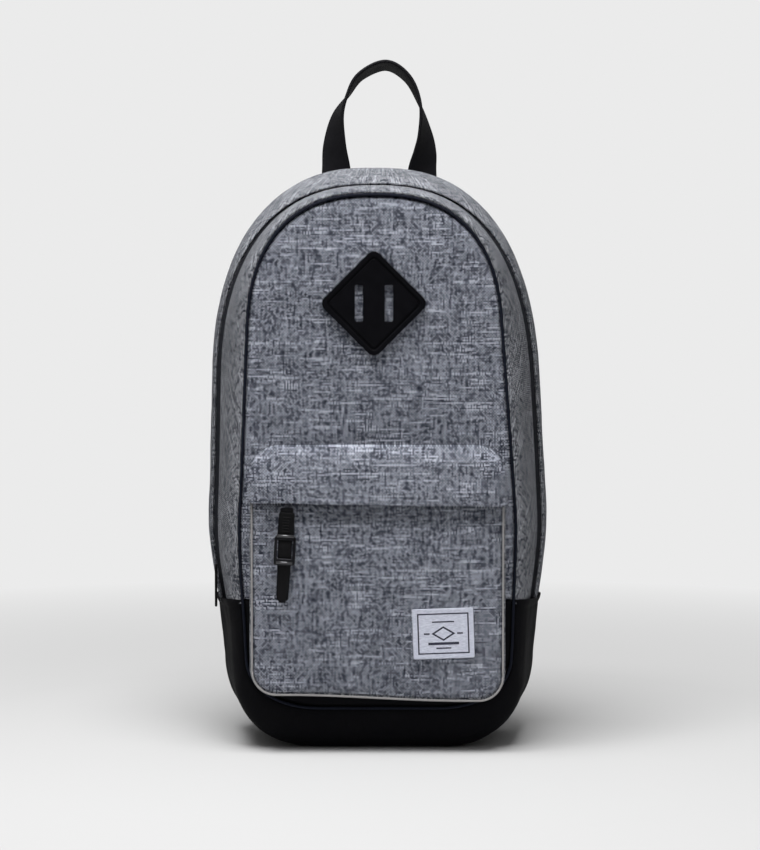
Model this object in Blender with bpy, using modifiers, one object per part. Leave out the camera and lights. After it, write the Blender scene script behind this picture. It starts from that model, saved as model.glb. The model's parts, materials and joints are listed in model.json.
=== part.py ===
"""Small sling bag: a padded arch-shaped body in heathered grey fabric on a black base.

The bag stands on the flat of its base. Origin: middle of that flat, on the ground.
+X is the bag's right as seen from the front, the front faces -Y and +Z is up.
"""

import math
from collections import namedtuple

import bmesh
import bpy
from mathutils import Matrix, Vector

MM = 0.001

# ---- driving dimensions, in millimetres -------------------------------------------------

SPRING_Z = 190.0  # height where the straight sides become the arch
BASE_TOP_Z = 89.3  # top edge of the black base
BODY_LOW_Z = 90.5  # lower end of the grey gussets
SIDE_TAPER = 0.042  # how much narrower the sides are at the base's top than at the spring
BASE_TAPER = 0.071  # further narrowing over the base's side
BASE_TAPER_LENGTH = 45.0
ARCH_POWER = 2.5  # superellipse power of the arch
ZIP_POWER = 2.7
CORNER_POWER = 2.2
STRAIGHT_SHARE = 0.2  # share of an arch line's run that is each straight side
FLAT_SHARE = 0.42  # share of a bottom edge's half-width that is straight

FRONT_SEAM_Y = -40.0
FRONT_HALF = 76.6
FRONT_TOP = 314.0
FRONT_BOTTOM = 24.0
FRONT_CORNER = 30.0

BACK_SEAM_Y = 41.0
BACK_HALF = 90.9
BACK_TOP = 324.4
BACK_BOTTOM = 22.0
BACK_CORNER = 34.0

# The long edges of the base are rounded: each rolls from the flat up to its seam.
BASE_FRONT_Y = -30.0
BASE_BACK_Y = 31.0
EDGE_DEPTH = 9.85
EDGE_TURN = 84.0  # degrees from the flat to the seam
BASE_CORNER = 45.0

FABRIC = 1.6
LINING = 0.8
PANEL = 2.0
PIPING_R = 1.5
PANEL_INSET = 2.0  # panel edge to piping line
GUSSET_OUTSET = 2.6  # piping line to gusset edge

ZIP_HALF = 89.3
ZIP_TOP = 315.8
TEETH_R = 0.9
TEETH_Y = 1.9
TAPE = 0.8

POCKET_HALF = 71.3
POCKET_BOTTOM = 34.0
POCKET_TOP = 172.8
POCKET_TOP_CORNER = 18.0
POCKET_BOTTOM_CORNER = 14.0
POCKET_FACE_Y = -56.0
POCKET_ZIP_Z = 144.5
POCKET_EDGE_Z = 139.5
HOOD_EDGE_Z = 140.5
PULL_X = -50.5

PULL_Y = -59.9
PULL_TOP_Z = 136.6

TAB_HALF = 28.5  # rubber diamond, centre to tip
TAB_CUT = 3.2  # how much of each tip is cut off
TAB_CENTRE = (-2.0, 253.0)
SLOT_OFFSET = 8.4

HAUL_Y = 44.0
HAUL_HALF_WIDTH = 9.4
HAUL_LINE = (
    (-23.9, 328.2),
    (-25.5, 349.0),
    (-18.0, 369.5),
    (-7.5, 382.0),
    (5.0, 388.4),
    (17.0, 383.5),
    (23.5, 372.0),
    (26.5, 352.0),
    (25.7, 328.2),
)

STRAP_TOP = Vector((0.0, 54.5, 298.0))
STRAP_PAD_LOW = Vector((-33.0, 86.0, 96.0))
STRAP_FOOT = Vector((-62.0, 57.0, 38.0))
STRAP_LINE = (
    STRAP_TOP,
    Vector((-0.5, 70.0, 292.0)),
    Vector((-2.5, 90.0, 264.0)),
    Vector((-7.0, 101.0, 222.0)),
    Vector((-14.0, 102.0, 176.0)),
    Vector((-23.0, 96.0, 132.0)),
    STRAP_PAD_LOW,
)
ADJUSTER_SHARE = 0.25  # where the adjuster sits on the lower webbing

# Slot name: linear colour, roughness, metallic.
FINISHES = {
    "crosshatch_front": ((0.155, 0.165, 0.200), 0.9, 0.0),
    "crosshatch_side": ((0.125, 0.133, 0.155), 0.9, 0.0),
    "black_canvas": ((0.006, 0.006, 0.008), 0.8, 0.0),
    "piping": ((0.018, 0.02, 0.03), 0.7, 0.0),
    "lining": ((0.25, 0.26, 0.28), 0.8, 0.0),
    "zip_tape": ((0.012, 0.013, 0.016), 0.85, 0.0),
    "zip_teeth": ((0.01, 0.01, 0.012), 0.45, 0.0),
    "spacer_mesh": ((0.02, 0.021, 0.024), 0.95, 0.0),
    "foam": ((0.6, 0.6, 0.58), 0.95, 0.0),
    "board": ((0.05, 0.05, 0.05), 0.6, 0.0),
    "webbing": ((0.009, 0.009, 0.011), 0.7, 0.0),
    "rubber": ((0.006, 0.006, 0.008), 0.5, 0.0),
    "woven_label": ((0.6, 0.62, 0.72), 0.85, 0.0),
    "black_metal": ((0.012, 0.012, 0.014), 0.4, 0.6),
    "pull_strap": ((0.008, 0.008, 0.01), 0.6, 0.0),
    "strap_pad": ((0.010, 0.010, 0.012), 0.85, 0.0),
    "buckle_plastic": ((0.01, 0.01, 0.011), 0.4, 0.0),
}

Layer = namedtuple("Layer", "y half top bottom corner power")

FRONT_LAYERS = (
    Layer(-39.85, FRONT_HALF + GUSSET_OUTSET, FRONT_TOP + GUSSET_OUTSET, 0, 0, ARCH_POWER),
    Layer(-36.0, 83.0, 317.4, 0, 0, ARCH_POWER),
    Layer(-20.0, 89.0, 318.2, 0, 0, ARCH_POWER),
    Layer(-5.5, 92.0, 318.4, 0, 0, ZIP_POWER),
    Layer(-3.5, 91.2, 317.6, 0, 0, ZIP_POWER),
)
BACK_LAYERS = (
    Layer(3.5, 93.0, 319.6, 0, 0, ZIP_POWER),
    Layer(5.5, 94.6, 321.6, 0, 0, ZIP_POWER),
    Layer(20.0, 97.4, 325.6, 0, 0, ARCH_POWER),
    Layer(34.0, 96.8, 327.6, 0, 0, ARCH_POWER),
    Layer(40.85, BACK_HALF + GUSSET_OUTSET, BACK_TOP + GUSSET_OUTSET, 0, 0, ARCH_POWER),
)


def rolled_edge(flat_y, side, seam_z, rows):
    """Cross-sections along a rounded long edge. Each row is (degrees from the flat, half-width, corner)."""
    low = FABRIC / 2
    full_rise = 1 - math.cos(math.radians(EDGE_TURN))
    made = []
    for degrees, half, corner in rows:
        a = math.radians(degrees)
        y = flat_y + side * EDGE_DEPTH * math.sin(a)
        z = low + (seam_z - low) * (1 - math.cos(a)) / full_rise
        made.append(Layer(y, half, 0, z, corner, ARCH_POWER))
    return made


def base_layers():
    """The base's cross-sections from the front seam, under the flat, to the back seam."""
    front_rows = (
        (EDGE_TURN, FRONT_HALF + GUSSET_OUTSET, FRONT_CORNER),
        (60, 81.5, 34.0),
        (30, 83.6, 40.0),
        (0, 85.6, BASE_CORNER),
    )
    back_rows = (
        (30, 96.4, 42.0),
        (60, 95.2, 38.0),
        (EDGE_TURN, BACK_HALF + GUSSET_OUTSET, BACK_CORNER),
    )
    flat_rows = ((-6.0, 91.4), (6.0, 93.4), (20.0, 97.0), (BASE_BACK_Y, 97.0))
    flat = [Layer(y, half, 0, FABRIC / 2, BASE_CORNER, ARCH_POWER) for y, half in flat_rows]
    front = rolled_edge(BASE_FRONT_Y, -1, FRONT_BOTTOM - GUSSET_OUTSET, front_rows)
    back = rolled_edge(BASE_BACK_Y, 1, BACK_BOTTOM - GUSSET_OUTSET, back_rows)
    return front + flat + back


# ---- outlines ---------------------------------------------------------------------------


def side_share(z):
    """Half-width of the side at height z, as a share of the half-width at the spring."""
    if z >= SPRING_Z:
        return 1.0
    if z >= BASE_TOP_Z:
        return 1.0 - SIDE_TAPER * (SPRING_Z - z) / (SPRING_Z - BASE_TOP_Z)
    return 1.0 - SIDE_TAPER - BASE_TAPER * (BASE_TOP_Z - z) / BASE_TAPER_LENGTH


def arch_point(layer, s):
    """Point at s (0 to 1) along a layer's line: up the left side, over the arch, down the right side."""
    straight = STRAIGHT_SHARE
    if s < straight or s > 1 - straight:
        share = s / straight if s < straight else (1 - s) / straight
        z = BODY_LOW_Z + (SPRING_Z - BODY_LOW_Z) * share
        x = layer.half * side_share(z)
        return Vector((-x if s < straight else x, layer.y, z))
    a = math.pi * (s - straight) / (1 - 2 * straight)
    power = 2 / layer.power
    x = -math.copysign(abs(math.cos(a)) ** power, math.cos(a)) * layer.half
    z = SPRING_Z + (layer.top - SPRING_Z) * max(0.0, math.sin(a)) ** power
    return Vector((x, layer.y, z))


def corner_point(layer, a):
    """Point on the bottom right corner; a goes from 0 at the flat to a quarter turn at the side."""
    flat = FLAT_SHARE * layer.half
    full = layer.half * side_share(layer.bottom + layer.corner)
    power = 2 / CORNER_POWER
    x = flat + (full - flat) * max(0.0, math.sin(a)) ** power
    z = layer.bottom + layer.corner * (1 - max(0.0, math.cos(a)) ** power)
    return x, z


def base_point(layer, s):
    """Point at s (0 to 1) along a base layer's line: down the left side, across the bottom, up the right."""
    mirrored = s < 0.5
    t = (0.5 - s) * 2 if mirrored else (s - 0.5) * 2
    flat, side = 0.25, 0.7
    if t < flat:
        x, z = FLAT_SHARE * layer.half * t / flat, layer.bottom
    elif t < side:
        x, z = corner_point(layer, math.pi / 2 * (t - flat) / (side - flat))
    else:
        low = layer.bottom + layer.corner
        z = low + (BASE_TOP_Z - low) * (t - side) / (1 - side)
        x = layer.half * side_share(z)
    return Vector((-x if mirrored else x, layer.y, z))


def outline(half, top, bottom, corner, low=None, high=None, arch_steps=28, corner_steps=6):
    """A panel's closed outline as (x, z) pairs: an arch on top and rounded bottom corners.

    With low, the outline ends in a straight edge at that height; with high, it starts at one.
    """
    layer = Layer(0, half, top, bottom, corner, ARCH_POWER)
    if high is None:
        shares = [STRAIGHT_SHARE + (1 - 2 * STRAIGHT_SHARE) * i / arch_steps for i in range(arch_steps + 1)]
        points = [(p.x, p.z) for p in (arch_point(layer, s) for s in shares)]
    else:
        points = [(-half * side_share(high), high), (half * side_share(high), high)]
    if low is not None:
        return points + [(half * side_share(low), low), (-half * side_share(low), low)]
    right = [corner_point(layer, math.pi / 2 * (1 - i / corner_steps)) for i in range(corner_steps + 1)]
    if high is None:
        right.insert(0, (half * side_share(BASE_TOP_Z), BASE_TOP_Z))
    return points + right + [(-x, z) for x, z in reversed(right)]


def rounded_box(half_x, low, high, low_corner, high_corner, steps=5):
    """Outline of an upright rectangle with rounded corners, as (x, z) pairs."""
    points = []
    for cx, cz, r, start in (
        (half_x - high_corner, high - high_corner, high_corner, 0),
        (-half_x + high_corner, high - high_corner, high_corner, 90),
        (-half_x + low_corner, low + low_corner, low_corner, 180),
        (half_x - low_corner, low + low_corner, low_corner, 270),
    ):
        for i in range(steps + 1):
            a = math.radians(start + 90 * i / steps)
            points.append((cx + r * math.cos(a), cz + r * math.sin(a)))
    return points


# ---- scene helpers ----------------------------------------------------------------------


def clear_scene():
    for obj in list(bpy.data.objects):
        bpy.data.objects.remove(obj, do_unlink=True)


def collection(name):
    made = bpy.data.collections.new(name)
    bpy.context.scene.collection.children.link(made)
    return made


def material(name):
    """The material of one slot, made the first time it is asked for."""
    found = bpy.data.materials.get(name)
    if found:
        return found
    colour, roughness, metallic = FINISHES[name]
    made = bpy.data.materials.new(name)
    made.use_nodes = True
    shader = made.node_tree.nodes["Principled BSDF"]
    shader.inputs["Base Color"].default_value = (*colour, 1.0)
    shader.inputs["Roughness"].default_value = roughness
    shader.inputs["Metallic"].default_value = metallic
    return made


def place(name, data, slot, where, location=(0, 0, 0), rotation=(0, 0, 0)):
    """Link a new object, with its slot's material, its location and its rotation, into the collection."""
    obj = bpy.data.objects.new(name, data)
    data.materials.append(material(slot))
    obj.location = Vector(location) * MM
    obj.rotation_euler = rotation
    where.objects.link(obj)
    return obj


def grid_shell(name, columns, rows, point, thickness, slot, where):
    """A sheet: a grid whose vertices go to point(u, v), both 0 to 1, thickened evenly about its middle."""
    bm = bmesh.new()
    bmesh.ops.create_grid(bm, x_segments=columns, y_segments=rows, size=0.5)
    for vertex in bm.verts:
        vertex.co = point(vertex.co.x + 0.5, vertex.co.y + 0.5) * MM
    mesh = bpy.data.meshes.new(name)
    bm.to_mesh(mesh)
    bm.free()
    mesh.shade_smooth()
    obj = place(name, mesh, slot, where)
    solid = obj.modifiers.new("Solidify", "SOLIDIFY")
    solid.thickness = thickness * MM
    solid.offset = 0
    return obj


def layered(layers, path):
    """A grid_shell point function: u runs over the layers and v along each layer's line."""

    def point(u, v):
        k = u * (len(layers) - 1)
        i = min(int(k + 1e-6), len(layers) - 2)
        return path(layers[i], v).lerp(path(layers[i + 1], v), k - i)

    return point


def flat_plate(name, loops, thickness, slot, where, location=(0, 0, 0), rotation=(0, 0, 0)):
    """A flat plate from closed outlines of (x, y) pairs; the second and later outlines are holes."""
    curve = bpy.data.curves.new(name, "CURVE")
    curve.dimensions = "2D"
    curve.fill_mode = "BOTH"
    curve.extrude = thickness / 2 * MM
    for loop in loops:
        spline = curve.splines.new("POLY")
        spline.points.add(len(loop) - 1)
        for item, (x, y) in zip(spline.points, loop):
            item.co = (x * MM, y * MM, 0, 1)
        spline.use_cyclic_u = True
    return place(name, curve, slot, where, location, rotation)


def upright_plate(name, loops, thickness, y, slot, where, lean=0.0, centre=(0, 0)):
    """A flat_plate stood up to face the front at depth y, turned by lean about its centre (x, z)."""
    turned = (math.pi / 2, lean, 0)
    return flat_plate(name, loops, thickness, slot, where, (centre[0], y, centre[1]), turned)


def upright(loop, y):
    """An outline of (x, z) pairs as points at depth y."""
    return [Vector((x, y, z)) for x, z in loop]


def ribbon_ring(name, loop, depth, thickness, y, slot, where):
    """A closed band: an outline of (x, z) pairs drawn out along Y and thickened."""
    curve = bpy.data.curves.new(name, "CURVE")
    curve.dimensions = "2D"
    curve.fill_mode = "NONE"
    curve.extrude = depth / 2 * MM
    spline = curve.splines.new("POLY")
    spline.points.add(len(loop) - 1)
    for item, (x, z) in zip(spline.points, loop):
        item.co = (x * MM, z * MM, 0, 1)
    spline.use_cyclic_u = True
    obj = place(name, curve, slot, where, (0, y, 0), (math.pi / 2, 0, 0))
    weld = obj.modifiers.new("Weld", "WELD")
    weld.merge_threshold = 0.00005
    solid = obj.modifiers.new("Solidify", "SOLIDIFY")
    solid.thickness = thickness * MM
    solid.offset = 0
    return obj


def tube(name, points, radius, slot, where, closed=False):
    """A round cord along points."""
    curve = bpy.data.curves.new(name, "CURVE")
    curve.dimensions = "3D"
    curve.bevel_depth = radius * MM
    curve.bevel_resolution = 1
    curve.use_fill_caps = not closed
    spline = curve.splines.new("POLY")
    spline.points.add(len(points) - 1)
    for item, at in zip(spline.points, points):
        item.co = (*(at * MM), 1)
    spline.use_cyclic_u = closed
    return place(name, curve, slot, where)


def smooth_line(points, share):
    """Point and direction at share (0 to 1) of a smooth line through points (Catmull-Rom)."""
    count = len(points) - 1
    k = min(max(share, 0.0), 1.0) * count
    i = min(int(k), count - 1)
    t = k - i
    p1, p2 = points[i], points[i + 1]
    p0 = points[i - 1] if i else p1 * 2 - p2
    p3 = points[i + 2] if i + 2 <= count else p2 * 2 - p1
    at = 0.5 * (
        p1 * 2 + (p2 - p0) * t + (p0 * 2 - p1 * 5 + p2 * 4 - p3) * t**2 + (p1 * 3 - p0 - p2 * 3 + p3) * t**3
    )
    along = 0.5 * (
        (p2 - p0) + (p0 * 2 - p1 * 5 + p2 * 4 - p3) * 2 * t + (p1 * 3 - p0 - p2 * 3 + p3) * 3 * t**2
    )
    return at, along.normalized()


def smooth_step(t):
    t = min(max(t, 0.0), 1.0)
    return t * t * (3 - 2 * t)


# ---- the bag ----------------------------------------------------------------------------


def build_body(bag):
    """Back half, base, lining and everything sewn to them."""
    base = base_layers()
    grid_shell("base_gusset", len(base) - 1, 28, layered(base, base_point), FABRIC, "black_canvas", bag)
    rear = layered(BACK_LAYERS, arch_point)
    grid_shell("back_gusset", len(BACK_LAYERS) - 1, 40, rear, FABRIC, "crosshatch_side", bag)

    panel = outline(BACK_HALF - PANEL_INSET, BACK_TOP - PANEL_INSET, BACK_BOTTOM + PANEL_INSET, BACK_CORNER)
    upright_plate("back_panel", [panel], PANEL, BACK_SEAM_Y, "black_canvas", bag)
    seam = outline(BACK_HALF, BACK_TOP, BACK_BOTTOM, BACK_CORNER)
    tube("back_piping", upright(seam, BACK_SEAM_Y), PIPING_R, "piping", bag, closed=True)
    pad = outline(BACK_HALF - 16, 284.0, BACK_BOTTOM + 22, 30.0, arch_steps=20)
    upright_plate("back_pad", [pad], 5.0, BACK_SEAM_Y + 3.9, "spacer_mesh", bag)
    sheet = outline(BACK_HALF - 10, BACK_TOP - 10, BACK_BOTTOM + 14, 30.0, arch_steps=20)
    upright_plate("back_foam", [sheet], 3.0, BACK_SEAM_Y - 3.0, "foam", bag)
    inner = outline(BACK_HALF - 9, BACK_TOP - 9, BACK_BOTTOM + 2, 32.0, arch_steps=20)
    upright_plate("liner_back", [inner], LINING, BACK_SEAM_Y - 5.5, "lining", bag)

    back_side = [
        Layer(4.5, 85.4, 312.2, 0, 0, ZIP_POWER),
        Layer(19.0, 88.0, 316.5, 0, 0, ARCH_POWER),
        Layer(33.8, 87.6, 318.4, 0, 0, ARCH_POWER),
    ]
    grid_shell("liner_back_side", 2, 32, layered(back_side, arch_point), LINING, "lining", bag)
    floor_rows = ((-33.0, 76.5), (-6.0, 85.0), (19.0, 90.0), (33.5, 89.0))
    floor = [Layer(y, half, 0, 5.6, 42.0, ARCH_POWER) for y, half in floor_rows]
    grid_shell("liner_base", 3, 20, layered(floor, base_point), LINING, "lining", bag)
    plate = rounded_box(42.0, -28.0, 30.0, 10.0, 10.0, 3)
    flat_plate("base_board", [plate], 2.0, "board", bag, (0, 0, 3.6))

    tape_layers = [
        Layer(3.2, ZIP_HALF, ZIP_TOP, 0, 0, ZIP_POWER),
        Layer(11.0, ZIP_HALF + 1.6, ZIP_TOP + 1.4, 0, 0, ZIP_POWER),
    ]
    grid_shell("back_zip_tape", 1, 36, layered(tape_layers, arch_point), TAPE, "zip_tape", bag)
    tube("back_zip_teeth", zip_line(TEETH_Y), TEETH_R, "zip_teeth", bag)

    patch = rounded_box(41.0, 302.5, 318.5, 3.0, 3.0, 2)
    upright_plate("haul_patch", [patch], 1.6, BACK_SEAM_Y + 2.7, "black_canvas", bag)
    tab = rounded_box(12.0, -1.7, 1.7, 0.6, 0.6, 1)
    flat_plate("strap_top_tab", [tab], 3.0, "webbing", bag, (0, BACK_SEAM_Y + 5.7, STRAP_TOP.z))
    tab = rounded_box(9.0, -10.0, 10.0, 2.0, 2.0, 1)
    lean = math.radians(38)
    upright_plate("strap_corner_tab", [tab], 1.8, BACK_SEAM_Y + 2.4, "webbing", bag, lean, (-63.5, 33.0))


def zip_line(y):
    """Points along the main zip's line at depth y."""
    steps = 40
    line = Layer(y, ZIP_HALF, ZIP_TOP, 0, 0, ZIP_POWER)
    return [arch_point(line, i / steps) for i in range(steps + 1)]


def build_front(bag):
    """The front half that opens: its gusset, panels, zip and lining."""
    inset = (FRONT_HALF - PANEL_INSET, FRONT_TOP - PANEL_INSET, FRONT_BOTTOM + PANEL_INSET, FRONT_CORNER)
    upper = outline(*inset, low=BODY_LOW_Z)
    upright_plate("front_panel", [upper], PANEL, FRONT_SEAM_Y, "crosshatch_front", bag)
    lower = outline(*inset, high=BASE_TOP_Z)
    upright_plate("front_base_panel", [lower], PANEL, FRONT_SEAM_Y, "black_canvas", bag)
    seam = outline(FRONT_HALF, FRONT_TOP, FRONT_BOTTOM, FRONT_CORNER)
    tube("front_piping", upright(seam, FRONT_SEAM_Y), PIPING_R, "piping", bag, closed=True)
    front = layered(FRONT_LAYERS, arch_point)
    grid_shell("front_gusset", len(FRONT_LAYERS) - 1, 40, front, FABRIC, "crosshatch_side", bag)
    tape_layers = [
        Layer(-11.0, ZIP_HALF - 1.0, ZIP_TOP, 0, 0, ZIP_POWER),
        Layer(-3.2, ZIP_HALF, ZIP_TOP, 0, 0, ZIP_POWER),
    ]
    grid_shell("front_zip_tape", 1, 36, layered(tape_layers, arch_point), TAPE, "zip_tape", bag)
    tube("front_zip_teeth", zip_line(-TEETH_Y), TEETH_R, "zip_teeth", bag)
    inner = outline(FRONT_HALF - 4, FRONT_TOP - 5, FRONT_BOTTOM + 5, 28.0, arch_steps=20)
    upright_plate("liner_front", [inner], LINING, FRONT_SEAM_Y + 2.6, "lining", bag)
    side_layers = [
        Layer(-36.0, 76.0, 310.4, 0, 0, ARCH_POWER),
        Layer(-20.0, 82.4, 311.6, 0, 0, ARCH_POWER),
        Layer(-4.5, 85.0, 311.8, 0, 0, ZIP_POWER),
    ]
    grid_shell("liner_front_side", 2, 32, layered(side_layers, arch_point), LINING, "lining", bag)


def build_diamond_tab(bag):
    """Rubber lash tab: a square on its corner, the tips cut off, with two upright slots."""
    badge = []
    for k in range(4):
        a = math.radians(90 * k)
        out = Vector((math.cos(a), math.sin(a)))
        across = Vector((-math.sin(a), math.cos(a))) * TAB_CUT
        tip = out * TAB_HALF
        back = out * (TAB_HALF - TAB_CUT)
        badge += [tuple(back - across), tuple(tip - across * 0.4)]
        badge += [tuple(tip + across * 0.4), tuple(back + across)]
    slot = rounded_box(2.35, -10.1, 10.1, 1.0, 1.0, 2)
    slots = [[(x + offset, z) for x, z in slot] for offset in (-SLOT_OFFSET, SLOT_OFFSET)]
    upright_plate("diamond_tab", [badge, *slots], 3.0, FRONT_SEAM_Y - 2.8, "rubber", bag, 0.0, TAB_CENTRE)


def build_pocket(bag):
    """Front pocket: side strip, face, storm hood, zip and label."""
    back_y = FRONT_SEAM_Y - 1.5
    front_y = POCKET_FACE_Y - 0.8
    band = rounded_box(POCKET_HALF, POCKET_BOTTOM, POCKET_TOP, POCKET_BOTTOM_CORNER, POCKET_TOP_CORNER)
    ribbon_ring("pocket_gusset", band, back_y - front_y, 1.2, (front_y + back_y) / 2, "crosshatch_side", bag)
    face = rounded_box(POCKET_HALF - 1.1, POCKET_BOTTOM + 1.1, POCKET_EDGE_Z, POCKET_BOTTOM_CORNER - 1, 0.5)
    upright_plate("pocket_front", [face], FABRIC, POCKET_FACE_Y, "crosshatch_front", bag)

    hood_half = POCKET_HALF + 0.9
    hood_top = POCKET_TOP + 1.2
    flare = 3.4

    def hood(u, v):
        x = (2 * u - 1) * hood_half
        reach = max(0.0, (abs(x) - (hood_half - POCKET_TOP_CORNER)) / POCKET_TOP_CORNER)
        top = hood_top - POCKET_TOP_CORNER * (1 - math.sqrt(max(0.0, 1 - reach**2)))
        z = HOOD_EDGE_Z + (top - HOOD_EDGE_Z) * v
        return Vector((x, POCKET_FACE_Y - 2 - flare * (1 - v) * (1 - abs(2 * u - 1) ** 6), z))

    grid_shell("pocket_hood", 28, 6, hood, 1.4, "crosshatch_front", bag)
    upper_tape = rounded_box(POCKET_HALF - 1.6, 147.4, POCKET_TOP - 1.6, 0.5, POCKET_TOP_CORNER - 1.5)
    upright_plate("pocket_zip_tape_upper", [upper_tape], TAPE, POCKET_FACE_Y, "zip_tape", bag)
    lower_tape = rounded_box(POCKET_HALF - 2.0, 129.0, 140.6, 0.5, 0.5, 1)
    upright_plate("pocket_zip_tape_lower", [lower_tape], TAPE, POCKET_FACE_Y + 1.9, "zip_tape", bag)
    for name, side in (("pocket_zip_teeth_upper", 1), ("pocket_zip_teeth_lower", -1)):
        z = POCKET_ZIP_Z + side * TEETH_Y
        ends = [Vector((x, POCKET_FACE_Y, z)) for x in (-64.0, 66.0)]
        tube(name, ends, TEETH_R, "zip_teeth", bag)

    label = rounded_box(17.1, -14.1, 14.1, 0.8, 0.8, 1)
    lean = math.radians(-2.0)
    upright_plate("woven_label", [label], 0.8, POCKET_FACE_Y - 1.5, "woven_label", bag, lean, (36.8, 69.0))


def slider_section(reach, arm_low, bail):
    """Cross-section of a zip slider, (out, across): an outer and an inner plate joined by the thin divider."""
    plate, gap, post = 0.8, 1.8, 0.4
    bail_half = 1.2
    outer = gap + plate
    points = [
        (-outer, -reach),
        (-gap, -reach),
        (-gap, -post),
        (gap, -post),
        (gap, -arm_low),
        (outer, -arm_low),
    ]
    if bail:
        points += [
            (outer, -bail_half),
            (outer + bail, -bail_half),
            (outer + bail, bail_half),
            (outer, bail_half),
        ]
    points += [(outer, reach), (gap, reach), (gap, post), (-gap, post), (-gap, reach), (-outer, reach)]
    return points


def axes_at(point, x_axis, y_axis, z_axis):
    """A placement in metres: the three axes as columns, at a point in millimetres."""
    at = Vector(point) * MM
    return Matrix([[x_axis[i], y_axis[i], z_axis[i], at[i]] for i in range(3)] + [[0, 0, 0, 1]])


def build_pocket_pull(bag):
    """Zip slider of the pocket and the strap-and-buckle pull that hangs from it."""
    # The slider runs along X: its section lies in the YZ plane, outward being -Y.
    section = slider_section(3.3, 10.2, 0.0)
    slider = flat_plate("pocket_slider", [section], 9.0, "black_metal", bag)
    slider.matrix_world = axes_at((PULL_X, POCKET_FACE_Y, POCKET_ZIP_Z), (0, -1, 0), (0, 0, 1), (1, 0, 0))

    pivot = bpy.data.objects.new("pocket_pull_pivot", None)
    pivot.location = Vector((PULL_X, PULL_Y, PULL_TOP_Z)) * MM
    bag.objects.link(pivot)

    def hang(obj):
        obj.parent = pivot
        obj.matrix_parent_inverse = pivot.matrix_basis.inverted()

    tab = rounded_box(4.75, 124.6, 137.1, 0.6, 0.6, 2)
    hang(upright_plate("pocket_pull_tab", [tab], 1.6, PULL_Y, "pull_strap", bag, 0.0, (PULL_X, 0)))
    frame = [rounded_box(5.9, 108.3, 124.2, 1.5, 1.5, 3), rounded_box(4.2, 111.0, 121.8, 0.6, 0.6, 2)]
    hang(upright_plate("pocket_pull_buckle", frame, 1.0, PULL_Y - 1.5, "black_metal", bag, 0.0, (PULL_X, 0)))

    tail_top, tail_low = 121.2, 86.0

    def tail(u, v):
        z = tail_top + (tail_low - tail_top) * v
        half = 3.6 - 0.5 * smooth_step((tail_top - z) / 30)
        rounding = 1 - 0.35 * smooth_step((v - 0.9) / 0.1)
        return Vector((PULL_X + (2 * u - 1) * half * rounding - 1.4 * v, PULL_Y, z))

    hang(grid_shell("pocket_pull_tail", 2, 12, tail, 1.3, "pull_strap", bag))


def build_main_slider(bag):
    """Slider of the main zip, parked at the lower left end, with its flat pull."""
    z = 101.5
    slope = ZIP_HALF * SIDE_TAPER / (SPRING_Z - BASE_TOP_Z)
    x = -ZIP_HALF * side_share(z)
    along = Vector((-slope, 0, 1)).normalized()
    out = Vector((-1, 0, -slope)).normalized()
    section = slider_section(2.9, 2.9, 1.0)
    slider = flat_plate("main_slider", [section], 9.0, "black_metal", bag)
    slider.matrix_world = axes_at((x, 0, z), out, along.cross(out), along)
    pull = rounded_box(2.8, -25.0, 0.6, 1.6, 0.4, 2)
    hung = flat_plate("main_pull", [pull], 1.3, "pull_strap", bag)
    hung.matrix_world = axes_at((x - 4.9, 0, z), (0, 1, 0), (0, 0, 1), (1, 0, 0))


def build_haul_loop(bag):
    """Webbing carry loop: flat at both ends, turned on edge over the crown."""
    line = [Vector((x, HAUL_Y, z)) for x, z in HAUL_LINE]
    turn_share = 0.36  # share of the loop over which each leg makes its quarter turn

    def point(u, v):
        at, along = smooth_line(line, v)
        edge = Vector((along.z, 0, -along.x))
        turn = math.pi / 2 * smooth_step((0.5 - abs(v - 0.5)) / turn_share)
        across = edge * math.cos(turn) + Vector((0, 1, 0)) * math.sin(turn)
        return at + across * (2 * u - 1) * HAUL_HALF_WIDTH

    grid_shell("haul_loop", 2, 32, point, 1.8, "webbing", bag)


def build_strap(bag):
    """Shoulder strap behind the bag: padded length, webbing to the corner and its adjuster."""
    swing = (STRAP_FOOT - STRAP_TOP).normalized()
    away = Vector((0, 1, 0)) - swing * swing.y
    level = swing.cross(away).normalized()

    def band(width, start, end, path):
        def point(u, v):
            at, along = smooth_line(path, start + (end - start) * v)
            across = (level - along * level.dot(along)).normalized()
            return at + across * (2 * u - 1) * width(v) / 2

        return point

    def pad_width(v):
        ends = min(smooth_step(v / 0.12), smooth_step((1 - v) / 0.12))
        return 27.0 + 23.0 * ends

    upper = band(lambda v: 20.0, 0.0, 0.14, STRAP_LINE)
    grid_shell("strap_webbing_top", 1, 6, upper, FABRIC, "webbing", bag)
    grid_shell("strap_pad", 4, 22, band(pad_width, 0.16, 1.0, STRAP_LINE), 7.0, "strap_pad", bag)
    drop = STRAP_FOOT - STRAP_PAD_LOW
    run = [STRAP_PAD_LOW + drop * share for share in (0.06, 0.36, 0.7, 1.0)]
    lower = band(lambda v: 24.0, 0.0, 1.0, run)
    grid_shell("strap_webbing", 1, 4, lower, FABRIC, "webbing", bag)

    along = drop.normalized()
    across = (level - along * level.dot(along)).normalized()
    outer = rounded_box(15.0, -3.6, 3.6, 1.4, 1.4, 2)
    inner = rounded_box(12.7, -1.5, 1.5, 0.4, 0.4, 1)
    adjuster = flat_plate("strap_adjuster", [outer, inner], 13.0, "buckle_plastic", bag)
    adjuster.matrix_world = axes_at(
        STRAP_PAD_LOW + drop * ADJUSTER_SHARE, across, along.cross(across), along
    )


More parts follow.
